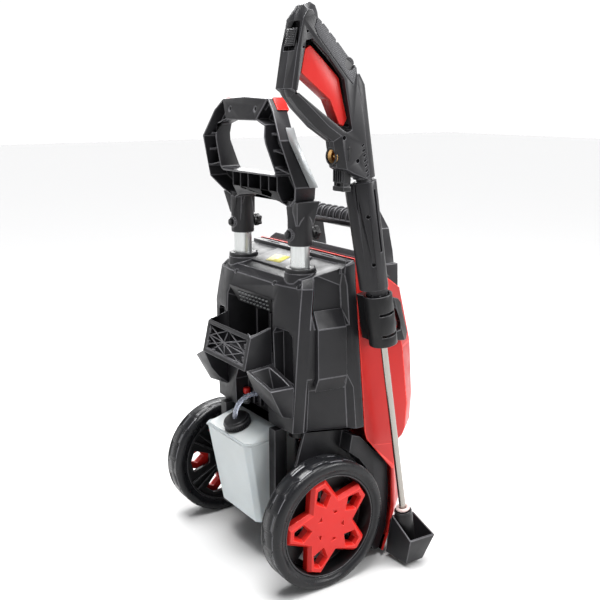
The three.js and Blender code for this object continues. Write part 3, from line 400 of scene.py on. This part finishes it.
def boolean(base, tools, operation="DIFFERENCE"):
    """base with every tool cut from it or added to it."""
    objects = []
    for bm in [base, *tools]:
        mesh = bpy.data.meshes.new("solid")
        bm.to_mesh(mesh)
        objects.append(bpy.data.objects.new("solid", mesh))
        bpy.context.scene.collection.objects.link(objects[-1])
    host = objects[0]
    for tool in objects[1:]:
        cut = host.modifiers.new("cut", "BOOLEAN")
        cut.operation = operation
        cut.solver = "EXACT"
        cut.object = tool
    mesh = bpy.data.meshes.new_from_object(host.evaluated_get(bpy.context.evaluated_depsgraph_get()))
    result = bmesh.new()
    result.from_mesh(mesh)
    for made in objects:
        old = made.data
        bpy.data.objects.remove(made)
        bpy.data.meshes.remove(old)
    bpy.data.meshes.remove(mesh)
    return result


def from_node(node):
    """The CAD node's own shape, welded, in the design's millimetres."""
    bm = bmesh.new()
    bm.from_mesh(frame["nodes"][node].data)
    bm.transform(FROM_ROW)
    bmesh.ops.remove_doubles(bm, verts=bm.verts, dist=0.01)
    return bm


def piece(name, bm, body, slot, round_by=0.8, angle=30, segments=2, material=None, edge_highlight=True):
    """Makes a shown piece from a solid, with its sharp edges rounded by round_by."""
    bmesh.ops.remove_doubles(bm, verts=bm.verts, dist=0.02)
    bmesh.ops.dissolve_limit(bm, angle_limit=math.radians(1.5), verts=bm.verts, edges=bm.edges)
    for face in bm.faces:
        face.smooth = True
    bm.transform(TO_ROW)
    mesh = bpy.data.meshes.new(name)
    bm.to_mesh(mesh)
    bm.free()
    obj = bpy.data.objects.new(name, mesh)
    bpy.context.scene.collection.objects.link(obj)
    mesh.materials.append(material or MATERIALS[slot])
    if round_by:
        bevel = obj.modifiers.new("edges", "BEVEL")
        # The bevel strips get the lighter edge colour, a painted highlight.
        if slot in EDGE_HIGHLIGHTS and edge_highlight:
            mesh.materials.append(EDGE_HIGHLIGHTS[slot])
            bevel.material = 1
        bevel.width = round_by * MM
        bevel.segments = segments
        bevel.limit_method = "ANGLE"
        bevel.angle_limit = math.radians(angle)
        bevel.use_clamp_overlap = False
        bevel.harden_normals = True
    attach(obj, body)
    return obj


def body_of(node):
    return frame["nodes"][node]["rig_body"]


def stand_in(node, bm, round_by=0.8, angle=30, segments=2):
    """A piece that takes the place of a CAD node."""
    obj = piece(node + "_shown", bm, body_of(node), SLOT_OF[node], round_by, angle, segments)
    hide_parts(node)
    return obj


def refined(node, round_by=0.8, angle=30, cuts=(), adds=(), segments=2):
    """The CAD node's shape with cuts, added detail and rounded edges."""
    bm = from_node(node)
    if cuts:
        bm = boolean(bm, [joined(cuts)])
    if adds:
        bm = joined([bm, *adds])
    return stand_in(node, bm, round_by, angle, segments)


def detail(name, bm, body, slot, round_by=0.3, angle=30, material=None):
    return piece(name, bm, body, slot, round_by, angle, 2, material)


def facing(point, direction):
    """A matrix that takes +Z to a direction and the origin to a point."""
    return Matrix.Translation(point) @ Vector(direction).to_track_quat("Z", "Y").to_matrix().to_4x4()


def screw_pocket(point, direction, radius=3.6, depth=6):
    """A round hole that goes in from a surface point against its outward direction."""
    return moved(cylinder("z", radius, -depth, 2, segments=24), facing(point, direction))


def screw(point, direction, radius=3.1, depth=4):
    """A domed screw head with a cross recess, sunk below the surface."""
    head = lathe("z", [[0, -1.6], [radius, -1.6], [radius, -0.6], [radius * 0.6, 0], [0, 0.2]], segments=24)
    head = boolean(head, [box(-0.5, 0.5, -1.9, 1.9, -0.9, 1), box(-1.9, 1.9, -0.5, 0.5, -0.9, 1)])
    return moved(head, facing(point, direction) @ Matrix.Translation((0, 0, -depth)))


# ---------------------------------------------------------------- wheels
TYRE = {"radius": 107, "inner": 141, "outer": 186, "bore": 85.8}
STAR = {"turn": 33, "back": 166, "front": 184, "tip": 81, "valley": 48}
TREAD_BLOCKS = 11


def groove(distance, width, depth):
    """The depth of a round-bottomed groove at a distance from its middle line."""
    return depth * max(0, 1 - (abs(distance) / width) ** 4)


def tread_depth(turn, across):
    """How deep the tread is cut at an angle round the tyre and a distance from its middle."""
    phase = (turn * TREAD_BLOCKS / (2 * math.pi)) % 1
    # Each line runs straight, steps across, runs straight again and steps back.
    swing = max(-1, min(1, 5 * (2 * abs(2 * phase - 1) - 1)))
    depth = max(groove(across - 12.5 - 2.6 * swing, 1.0, 1.4), groove(across + 12.5 - 2.6 * swing, 1.0, 1.4))
    if abs(phase - 0.5) < 0.2:
        depth = max(depth, groove(across - 5.5, 0.9, 1.3), groove(across + 16.6, 0.9, 1.3))
    if abs(phase - 0.5) > 0.3:
        depth = max(depth, groove(across + 5.5, 0.9, 1.3), groove(across - 16.6, 0.9, 1.3))
    return depth


def tyre():
    radius, inner, outer, bore = TYRE.values()
    middle = (inner + outer) / 2
    side_in = [[bore, inner + 2.5], [88, inner + 2], [92.3, inner + 1.8], [92.8, inner + 0.4], [99, inner]]
    side_out = [[r, outer + inner - along] for r, along in reversed(side_in)]
    across = [-21.2 + 42.4 * k / 64 for k in range(65)]
    segments = 440
    rows = []
    for k in range(segments):
        turn = 2 * math.pi * k / segments
        row = list(side_in)
        for w in across:
            fall = max(0, abs(w) - 15) / 6.2
            row.append([radius - 3.6 * fall ** 2 - tread_depth(turn, w), middle + w])
        row += side_out + [[bore, middle]]
        rows.append([(x, r * math.cos(turn), AXLE_HEIGHT + r * math.sin(turn)) for r, x in row])
    bm = grid(rows)
    bmesh.ops.recalc_face_normals(bm, faces=bm.faces)
    return bm


def polar(radius, degrees):
    turn = math.radians(degrees)
    return (-radius * math.cos(turn), AXLE_HEIGHT + radius * math.sin(turn))


def rim():
    band = [[82, 143.5], [85.5, 143.5], [85.5, 182], [84.6, 183.6], [83, 183.6], [81.2, 176], [80.6, 160],
            [82, 156]]
    hub = [[8.3, 142], [20, 142], [22, 144], [22, 163], [20, 165], [8.3, 165]]
    windows = []
    ribs = []
    for lobe in range(5):
        a = STAR["turn"] + 72 * lobe
        corners = [(36, -15), (70, -17), (74, 0), (70, 17), (36, 15)]
        windows.append([polar(r, a + t) for r, t in corners])
        for turn in (a + 36 - 6, a + 36 + 6):
            spoke = box(144.5, 150.5, -81.5, -21, -1.4, 1.4)
            centre = Matrix.Translation((0, 0, AXLE_HEIGHT))
            ribs.append(moved(spoke, centre @ Matrix.Rotation(-math.radians(turn), 4, "X")))
    disc = [polar(82, 3 * k) for k in range(120)]
    hole = [polar(15, 10 * k) for k in range(36)]
    web = prism("x", disc, 150, 157, [*windows, hole])
    bead = lathe("x", [[76.5, 156.5], [78, 158.4], [79.5, 156.5]], 0, AXLE_HEIGHT, 160)
    return joined([lathe("x", band, 0, AXLE_HEIGHT, 160), lathe("x", hub, 0, AXLE_HEIGHT, 64), web, bead, *ribs])


def hub_cap():
    """The red star: five lobes with chamfered frames round a window, and small notches near the middle."""
    low, high = STAR["back"], STAR["front"]
    rows = {"foot": [], "side": [], "crest": []}
    for lobe in range(5):
        a = STAR["turn"] + 72 * lobe
        for radius, turn, valley in ((STAR["tip"], -10, 0), (STAR["tip"], 10, 0), (STAR["valley"], 36, 1)):
            rows["foot"].append((low, *polar(radius, a + turn)))
            rows["side"].append((high - 6, *polar(radius, a + turn)))
            inset = 4.4 if not valley else 5.5
            nudge = 0 if valley else (3.1 if turn < 0 else -3.1)
            rows["crest"].append((high, *polar(radius - inset, a + turn + nudge)))
    bm = bmesh.new()
    made = [[bm.verts.new(p) for p in rows[key]] for key in ("foot", "side", "crest")]
    count = len(made[0])
    for lower, upper in zip(made, made[1:]):
        for i in range(count):
            j = (i + 1) % count
            bm.faces.new((lower[i], lower[j], upper[j], upper[i]))
    bm.faces.new(made[0])
    bm.faces.new(made[-1])
    bmesh.ops.recalc_face_normals(bm, faces=bm.faces)
    cutters = []
    for lobe in range(5):
        a = STAR["turn"] + 72 * lobe
        wide = [(71, -5.8), (71, 5.8), (54, 17.5), (34, 0), (54, -17.5)]
        tight = [(67, -4.4), (67, 4.4), (53, 13), (39, 0), (53, -13)]
        top = [(high + 1.5, *polar(r, a + t)) for r, t in wide]
        floor = [(high - 6.5, *polar(r, a + t)) for r, t in tight]
        cutters.append(hull(top + floor))
        cutters.append(prism("x", [polar(r, a + t) for r, t in tight], low - 1, high))
        notch = [polar(27, a + 36 - 11), polar(27, a + 36 + 11), polar(20.5, a + 36)]
        cutters.append(prism("x", notch, high - 3, high + 1))
    return boolean(bm, cutters)


def show_tread(obj):
    """Paints the lips of the tread's grooves a paler rubber, a painted highlight for the glints at their edges."""
    mesh = obj.data
    mesh.materials.append(TREAD_GLINT)
    middle = (TYRE["inner"] + TYRE["outer"]) / 2
    for face in mesh.polygons:
        x, y, z = FROM_ROW @ face.center
        radius = math.hypot(y, z - AXLE_HEIGHT)
        depth = tread_depth(math.atan2(z - AXLE_HEIGHT, y) % (2 * math.pi), abs(x) - middle)
        if radius > TYRE["radius"] - 6 and 0.15 < depth < 1.1:
            face.material_index = 1


def add_wheels():
    for side, flip in (("right", Matrix.Identity(4)), ("left", MIRROR)):
        show_tread(stand_in(f"tyre_{side}", moved(tyre(), flip), 0))
        stand_in(f"rim_{side}", moved(rim(), flip), 0.6, 35)
        stand_in(f"hub_cap_{side}", moved(hub_cap(), flip), 0.7, 12)


# ---------------------------------------------------------------- housings
BACK_SCREWS = [((side * x, y, z), (side * lean, 0.9, 0.35))
               for x, y, z, lean in ((59, 23.4, 481, 0), (115, 14.6, 483, 0.3)) for side in (-1, 1)]


def add_rear_housing():
    cuts = [screw_pocket(point, direction, 4.2, 2.2) for point, direction in BACK_SCREWS]
    refined("rear_housing", 1.1, 16, cuts)
    heads = [screw(point, direction, 3.6, 0.6) for point, direction in BACK_SCREWS]
    detail("rear_screws", joined(heads), "machine", "black_steel", 0)
    add_grille()


def add_grille():
    """The steep louvred panel at the top of the storage bay."""
    top = Vector((0, 33.5, 457))
    foot = Vector((0, 22, 430))
    slope = (foot - top).normalized()
    block = hull([(-66, top.y, top.z), (66, top.y, top.z), (-54, foot.y, foot.z), (54, foot.y, foot.z),
                  (-58, -12, 423), (58, -12, 423), (-62, 20, 447), (62, 20, 447)])
    slots = []
    lit_ledges = []
    lean = Matrix.Rotation(math.atan2(slope.y, -slope.z), 4, "X")
    for row in range(3):
        for column in range(9):
            centre = top + slope * (7 + row * 8.4)
            place = Matrix.Translation((-45.5 + column * 10.5 + (row - 1) * 3, centre.y, centre.z)) @ lean
            slots.append(moved(box(-3.6, 3.6, -3, 3, -2.2, 2.2), place))
            lit_ledges.append(moved(box(-2.7, 2.7, -1.5, 1.1, -1.9, -0.2), place))
    panel = boolean(block, [joined(slots)])
    detail("bay_grille", panel, "machine", "black_plastic", 0.25)
    # The ledges in the slots are silver, a painted highlight for their lit edges on the black panel.
    detail("bay_louvre_highlights", joined(lit_ledges), "machine", "silver_plastic", 0)


def add_side_blocks():
    """The raised block half-way up each side, with a slanted top and bottom."""
    corners = []
    for z, proud in ((314, -5), (338, 6), (418, 6), (446, -6)):
        lean = (z - 338) / 80
        for y, x in ((-2, 140.5 - 1.5 * lean), (-53, 147.5 - 3 * lean)):
            corners.append((x + proud, y, z))
    detail("side_blocks", both_sides(hull(corners)), "machine", "charcoal_plastic", 1.2, 14)


def add_top():
    refined("top_cover", 0.8, 20)
    # The cover rises to the front by this much a millimetre.
    slope = 0.29
    outline = [(-16, -16), (22, -13), (25, -36), (-13, -39)]
    label = hull([(x, y, 495.4 + (7 - y) * slope + t) for x, y in outline for t in (0, 0.4)])
    detail("blank_label", label, "machine", "pale_plastic", 0, material=LABEL)


def add_front():
    shell = refined("front_housing", 1.4, 9, segments=3)
    # The front housing takes the darker red, painted shade.
    shell.data.materials[0] = SHADED_RED
    refined("front_panel", 0.8, 30)
    for side in ("right", "left"):
        refined(f"wheel_arch_{side}", 0.9, 16)


def add_basket():
    """The accessory basket: thick rounded cheeks, a frame and a web of thin crossed bars."""
    bm = from_node("basket")
    window = box(-60, 60, 60, 100, 354, 395)
    bm = boolean(bm, [window])
    depth = lambda z: 74 - (z - 399) * 12 / 52 - 2
    bars = []
    ends = [((56, 391), (-42, 356)), ((1, 396), (-58, 373)), ((1, 396), (58, 376)), ((58, 377), (-58, 371)),
            ((56, 362), (-58, 393)), ((1, 396), (9, 375)), ((9, 375), (0, 356)), ((58, 376), (0, 356)),
            ((0, 356), (-58, 374)), ((40, 356), (9, 375))]
    for (xa, za), (xb, zb) in ends:
        a = Vector((xa, depth(za), za))
        b = Vector((xb, depth(zb), zb))
        bars.append(tube([a, (a + b) / 2, b], 1.1, 8))
    edge = [(-60, 354.5), (60, 354.5), (60, 397), (-60, 397)]
    for (xa, za), (xb, zb) in zip(edge, edge[1:] + edge[:1]):
        a = Vector((xa, depth(za), za))
        b = Vector((xb, depth(zb), zb))
        bars.append(tube([a, (a + b) / 2, b], 1.5, 8))
    teeth = [box(x - 4, x + 4, depth(z) - 3, depth(z) + 2.2, z - 2, z + 2)
             for x, z in [(-42, 356), (-4, 356), (36, 356)]]
    clips = [box(s * 57 - 2.5, s * 57 + 2.5, depth(z) - 3, depth(z) + 2, z - 4, z + 4)
             for s in (-1, 1) for z in (364, 384)]
    stand_in("basket", joined([bm, *teeth, *clips]), 1.1, 30)
    # The web's thin bars take the lighter charcoal edge colour all over, a painted highlight.
    detail("basket_web", joined(bars), "machine", "charcoal_plastic", 0, material=EDGE_HIGHLIGHTS["charcoal_plastic"])


def add_pockets():
    for side in ("right", "left"):
        refined(f"pocket_{side}", 1.2, 25)


# ---------------------------------------------------------------- tank
CAP_AT = Matrix.Translation((0, 59, 231)) @ Matrix.Rotation(-math.radians(21), 4, "X")


def add_tank():
    refined("tank", 2.4, 20, segments=4)
    profile = [[0, 13.9], [18, 14], [20.6, 13.4], [21.6, 12], [22, 9.4], [23.2, 8.8], [23.5, 7.6], [23.4, -0.4],
               [22.6, -1.2], [0, -1.2]]
    cap = lathe("z", profile, segments=120)
    grips = []
    for k in range(40):
        turn = 2 * math.pi * k / 40
        groove = box(-0.5, 0.5, 22.9, 24, 0, 7)
        grips.append(moved(groove, Matrix.Rotation(turn, 4, "Z")))
    cap = boolean(cap, [joined(grips), cylinder("z", 4.8, -5, 20)])
    stand_in("tank_cap", moved(cap, CAP_AT), 0.5, 40)
    lean = math.tan(math.radians(21))
    route = [(0, 59 + (z - 231) * lean, z) for z in (92, 180, 231, 246)]
    route += [(-3, 60, 266), (-9, 47, 280), (-15, 28, 284), (-17, 8, 283), (-17, -2, 283)]
    stand_in("suction_tube", tube(smooth_path(route, 10), 4, 20), 0)


def add_spring_hose():
    """The coiled grey guard and the red plug beside the suction tube."""
    turns = 6
    path = []
    for k in range(turns * 14 + 1):
        turn = 2 * math.pi * k / 14
        path.append(Vector((46 + 5 * math.cos(turn), 13 + 5 * math.sin(turn), 240.5 + k * 22 / (turns * 14))))
    detail("coil_guard", tube(path, 1.3, 8), "machine", "silver_plastic", 0)
    plug = lathe("z", [[0, 263], [5.5, 263], [6.5, 265], [6.5, 272], [5, 274], [0, 274]], 46, 13, 24)
    detail("coil_plug", plug, "machine", "red_plastic", 0.3)


# ---------------------------------------------------------------- handles
def add_carry_handle():
    """The CAD handle with finger pockets between the ribs on the upper half of its grip."""
    grip_y, grip_z = -160, 566
    pockets = []
    for k in range(9):
        x = -72 + k * 18
        ring = lathe("x", [[12.5, x - 7.4], [22, x - 7.4], [22, x + 7.4], [12.5, x + 7.4]], grip_y, grip_z, 48)
        upper = box(x - 8, x + 8, grip_y - 30, grip_y + 30, grip_z - 4, grip_z + 30)
        pockets.append(boolean(ring, [upper], "INTERSECT"))
    refined("carry_handle", 1.0, 20, pockets)


def add_push_handle():
    refined("handle_loop", 1.2, 20)
    screws = [((x, 43.5, 749), (0, 0.97, -0.2)) for x in (-38, 38)]
    refined("grip_cover", 1.8, 20, segments=3)
    detail("grip_screws", joined([screw(p, d, 3, 3) for p, d in screws]), "handle", "black_steel", 0)
    for side, sign in (("right", 1), ("left", -1)):
        refined(f"corner_inset_{side}", 0.8, 25)
        refined(f"side_trim_{side}", 0.4, 30)
        flip = Matrix.Identity(4) if sign > 0 else MIRROR
        outer = [[13.4, 236], [15, 236], [15, 588], [13.4, 588]]
        shank = lathe("z", outer, TUBE_X, TUBE_Y, 96)
        hole = cylinder("y", 3.4, -40, 40, TUBE_X, BOLT_Z, 24)
        stand_in(f"handle_tube_{side}", moved(boolean(shank, [hole]), flip), 0.3)
        ring = [[15.4, 500.3], [24, 500.3], [24, 505.6], [22.6, 507], [17, 507], [15.4, 505.8]]
        tab = box(TUBE_X - 3.4, TUBE_X + 3.4, TUBE_Y - 27, TUBE_Y - 20, 504.4, 507)
        stand_in(f"collar_{side}", moved(joined([lathe("z", ring, TUBE_X, TUBE_Y, 96), tab]), flip), 0.5)
        knob = lathe("y", [[0, -42], [7, -42], [9, -40.6], [9, -36], [8, -33], [8, -28.4], [3.3, -28.4],
                           [3.3, -36], [0, -36]], TUBE_X, BOLT_Z, 60)
        lobes = []
        for k in range(5):
            turn = 2 * math.pi * k / 5
            u = TUBE_X + 7.6 * math.cos(turn)
            v = BOLT_Z + 7.6 * math.sin(turn)
            lobes.append(lathe("y", [[0, -41.6], [3, -41.6], [3.4, -40], [3.4, -34], [3, -33.2], [0, -33.2]],
                               u, v, 24))
        stand_in(f"star_knob_{side}", moved(joined([knob, *lobes]), flip), 0.3)
        refined(f"clamp_bolt_{side}", 0.5, 30)


# ---------------------------------------------------------------- spray gun and lance
GUN_SCREWS = [((81.1, 772.2), 2.6), ((1.8, 711.1), 3), ((-22.8, 678.5), 3), ((64.3, 850.6), 1.8),
              ((70.7, 830.3), 1.8)]
RAIL = [(-31.5, 700), (-41, 657)]


def add_gun():
    sides = ((GUN_OUTER, -1, "gun_half_outer"), (-170, 1, "gun_half_inner"))
    heads = []
    for x, sign, node in sides:
        pockets = []
        for (y, z), radius in GUN_SCREWS:
            pockets.append(screw_pocket((x, y, z), (sign, 0, 0), radius, 4.5))
            if radius > 2:
                heads.append(screw((x, y, z), (sign, 0, 0), radius - 0.3, 3.4))
        for k in range(7):
            t = k / 6
            y = RAIL[0][0] + (RAIL[1][0] - RAIL[0][0]) * t
            z = RAIL[0][1] + (RAIL[1][1] - RAIL[0][1]) * t
            slot = box(-3, 3, -2.6, 2.6, -1.3, 1.3)
            pockets.append(moved(slot, Matrix.Translation((x, y, z)) @ Matrix.Rotation(-0.6, 4, "X")))
        refined(node, 0.5, 24, pockets)
    detail("gun_screws", joined(heads), "lance", "black_steel", 0)
    arrow = [(-9, 679), (-5.5, 679), (-5.5, 694), (-3.2, 694), (-7.2, 702), (-11.2, 694), (-9, 694)]
    detail("flow_arrow", prism("x", arrow, GUN_OUTER - 0.25, GUN_OUTER + 0.3), "lance", "black_plastic", 0)
    notches = [box(-212, -168, y - 1.5, y + 1.5, z - 3, z + 1.5) for y, z in ((40.5, 863), (29, 852), (17, 840.5))]
    refined("grip_overlay", 0.7, 24, notches)
    refined("trigger", 1.6, 25, segments=3)
    add_lock_button()
    inlet = [[0, -12], [12, -12], [12, 9], [11, 9.3], [9.6, 8.4], [6.6, 5], [6.2, -4], [0, -4]]
    bore = lathe("y", inlet, LANCE.x, 685, 64)
    pin = lathe("y", [[0, -4], [2.4, -4], [2.4, 4], [1.4, 5.4], [0, 5.4]], LANCE.x, 685, 24)
    stand_in("hose_inlet", joined([bore, pin]), 0.3)
    ring = [[9.4, 8.6], [12.6, 8.4], [12.8, 9.8], [12, 10.8], [10, 10.6]]
    detail("inlet_ring", lathe("y", ring, LANCE.x, 685, 64), "lance", "black_plastic", 0.3)
    ribs = [box(LANCE.x - 10 + k * 5 - 0.8, LANCE.x - 10 + k * 5 + 0.8, -3.6, -1.4, 648, 668) for k in range(5)]
    refined("bayonet_fork", 0.8, 30, adds=ribs)


def add_lock_button():
    """The trigger lock on the head's back, with fine ribs for the thumb."""
    low = Vector((LANCE.x, 81.5, 832.5))
    high = Vector((LANCE.x, 76.5, 855))
    ribs = []
    for k in range(9):
        centre = low.lerp(high, 0.1 + 0.8 * k / 8)
        rib = box(-9.5, 9.5, -0.4, 0.9, -0.7, 0.7)
        ribs.append(moved(rib, Matrix.Translation(centre) @ Matrix.Rotation(math.radians(12.5), 4, "X")))
    refined("trigger_lock", 0.6, 30, adds=ribs)


def lance_direction(degrees):
    """A direction square to the lance, by its angle from +X towards the machine's back."""
    turn = math.radians(degrees)
    return Vector((math.cos(turn), math.sin(turn), 0))


def add_lance():
    slot = box(-2.6, 2.6, -4, 6, 62, 158)
    place = ALONG_LANCE @ Matrix.Rotation(math.radians(102), 4, "Z") @ Matrix.Translation((0, 17.5, 0))
    seam = moved(box(14.6, 15.2, 15.2, 24, 5, 169), ALONG_LANCE @ Matrix.Rotation(math.radians(55), 4, "Z"))
    cuts = [moved(slot, place), seam]
    heads = []
    for k in (119.4, 45.5):
        out = lance_direction(140)
        point = ALONG_LANCE @ (out * 17.6 + Vector((0, 0, k)))
        direction = ALONG_LANCE.to_3x3() @ out
        cuts.append(screw_pocket(point, direction, 3.1, 4.5))
        heads.append(screw(point, direction, 2.8, 3.4))
    for k in range(8):
        out = lance_direction(k * 45 + 20)
        point = ALONG_LANCE @ (out * 16.5 + Vector((0, 0, -4)))
        cuts.append(screw_pocket(point, ALONG_LANCE.to_3x3() @ out, 1.3, 2))
    refined("lance_extension", 0.5, 31, cuts)
    detail("extension_screws", joined(heads), "lance", "black_steel", 0)
    pipe = lathe("z", [[0, -420], [5.5, -420], [5.5, 158], [0, 158]], segments=64)
    stand_in("lance_pipe", moved(pipe, ALONG_LANCE), 0.3)
    profile = [[0, -473.5], [2, -474], [8.5, -474], [10, -472.6], [14.2, -464], [14.6, -452], [14.2, -450.4],
               [14.2, -448.8], [15, -447.4], [15, -400], [14.4, -398], [14.4, -396.4], [15, -394.6],
               [14.2, -392.2], [5.8, -392], [5.8, -420.4], [0, -420.4]]
    stand_in("nozzle", moved(lathe("z", profile, segments=96), ALONG_LANCE), 0.3)
    ring = []
    for k in range(24):
        turn = 2 * math.pi * k / 24
        ring.append([8.9 + 3.0 * math.cos(turn), -388.8 + 2.8 * math.sin(turn)])
    stand_in("nozzle_ring", moved(lathe("z", ring, segments=96), ALONG_LANCE), 0)
    refined("lance_clip", 0.9, 20)
    refined("lance_holster", 1.4, 20, segments=3)


# ---------------------------------------------------------------- the rest keeps its CAD shape
PLAIN = {"chassis": 0.8, "switch_knob": 1, "outlet_connector": 0.5, "inlet_connector": 0.5, "cord_gland": 0.5,
         "foot_right": 1, "foot_left": 1, "axle_right": 0.5, "axle_left": 0.5, "motor": 1, "pump_head": 1}

add_wheels()
add_rear_housing()
add_side_blocks()
add_top()
add_front()
add_basket()
add_pockets()
add_tank()
add_spring_hose()
add_carry_handle()
add_push_handle()
add_gun()
add_lance()
for plain_node, plain_round in PLAIN.items():
    refined(plain_node, plain_round)
for node_name, node_object in frame["nodes"].items():
    node_object.data.materials.clear()
    node_object.data.materials.append(MATERIALS[SLOT_OF[node_name]])


# ---------------------------------------------------------------- studio
def area_light(name, place, target, power, size):
    data = bpy.data.lights.new(name, "AREA")
    data.energy = power
    data.shape = "RECTANGLE"
    data.size, data.size_y = size
    obj = bpy.data.objects.new(name, data)
    bpy.context.scene.collection.objects.link(obj)
    obj.location = TO_ROW @ Vector(place)
    aim = TO_ROW @ Vector(target) - obj.location
    obj.rotation_euler = aim.to_track_quat("-Z", "Y").to_euler()


def backdrop():
    """White paper round the horizon and a dimmer room above it."""
    world = bpy.data.worlds.new("studio")
    bpy.context.scene.world = world
    world.use_nodes = True
    tree = world.node_tree
    place = add_node(tree, "ShaderNodeTexCoord")
    apart = add_node(tree, "ShaderNodeSeparateXYZ")
    tree.links.new(place.outputs["Generated"], apart.inputs[0])
    shade = ramp(tree, apart.outputs["Z"], 0.16, 0.45, (1.05, 1.05, 1.05, 1), (0.22, 0.22, 0.23, 1))
    tree.links.new(shade, tree.nodes["Background"].inputs["Color"])


def studio():
    scene = bpy.context.scene
    scene.view_settings.view_transform = "Standard"
    backdrop()
    area_light("key", (-1500, -1300, 1550), (-60, 0, 420), 52, (1.2, 1.0))
    area_light("rim", (1650, -650, 1500), (0, 0, 480), 36, (1.2, 1.0))
    area_light("top", (-250, 350, 2100), (0, 0, 400), 40, (1.1, 1.1))
    sun = bpy.data.lights.new("sun", "SUN")
    sun.energy = 4.9
    sun.angle = math.radians(40)
    overhead = bpy.data.objects.new("sun", sun)
    scene.collection.objects.link(overhead)
    side = 14
    mesh = bpy.data.meshes.new("floor")
    floor_z = cad_box[0].z
    mesh.from_pydata([(-side, -side, floor_z), (side, -side, floor_z), (side, side, floor_z),
                      (-side, side, floor_z)], [], [(0, 1, 2, 3)])
    floor = bpy.data.objects.new("floor", mesh)
    scene.collection.objects.link(floor)
    floor_material = bpy.data.materials.new("pale_floor")
    floor_material.use_nodes = True
    shader = floor_material.node_tree.nodes["Principled BSDF"]
    shader.inputs["Base Color"].default_value = (0.5, 0.5, 0.5, 1)
    shader.inputs["Roughness"].default_value = 0.8
    mesh.materials.append(floor_material)


def camera():
    data = bpy.data.cameras.new("camera")
    data.sensor_width = 36
    data.lens = 50.32
    data.clip_end = 100
    obj = bpy.data.objects.new("camera", data)
    bpy.context.scene.collection.objects.link(obj)
    yaw, pitch = math.radians(34.613), math.radians(13.43)
    forward = Vector((math.cos(yaw) * math.cos(pitch), -math.sin(yaw) * math.cos(pitch), -math.sin(pitch)))
    obj.location = TO_ROW @ Vector((-1152.2, 727.3, 762.9))
    obj.rotation_euler = forward.to_track_quat("-Z", "Y").to_euler()
    bpy.context.scene.camera = obj


studio()
camera()
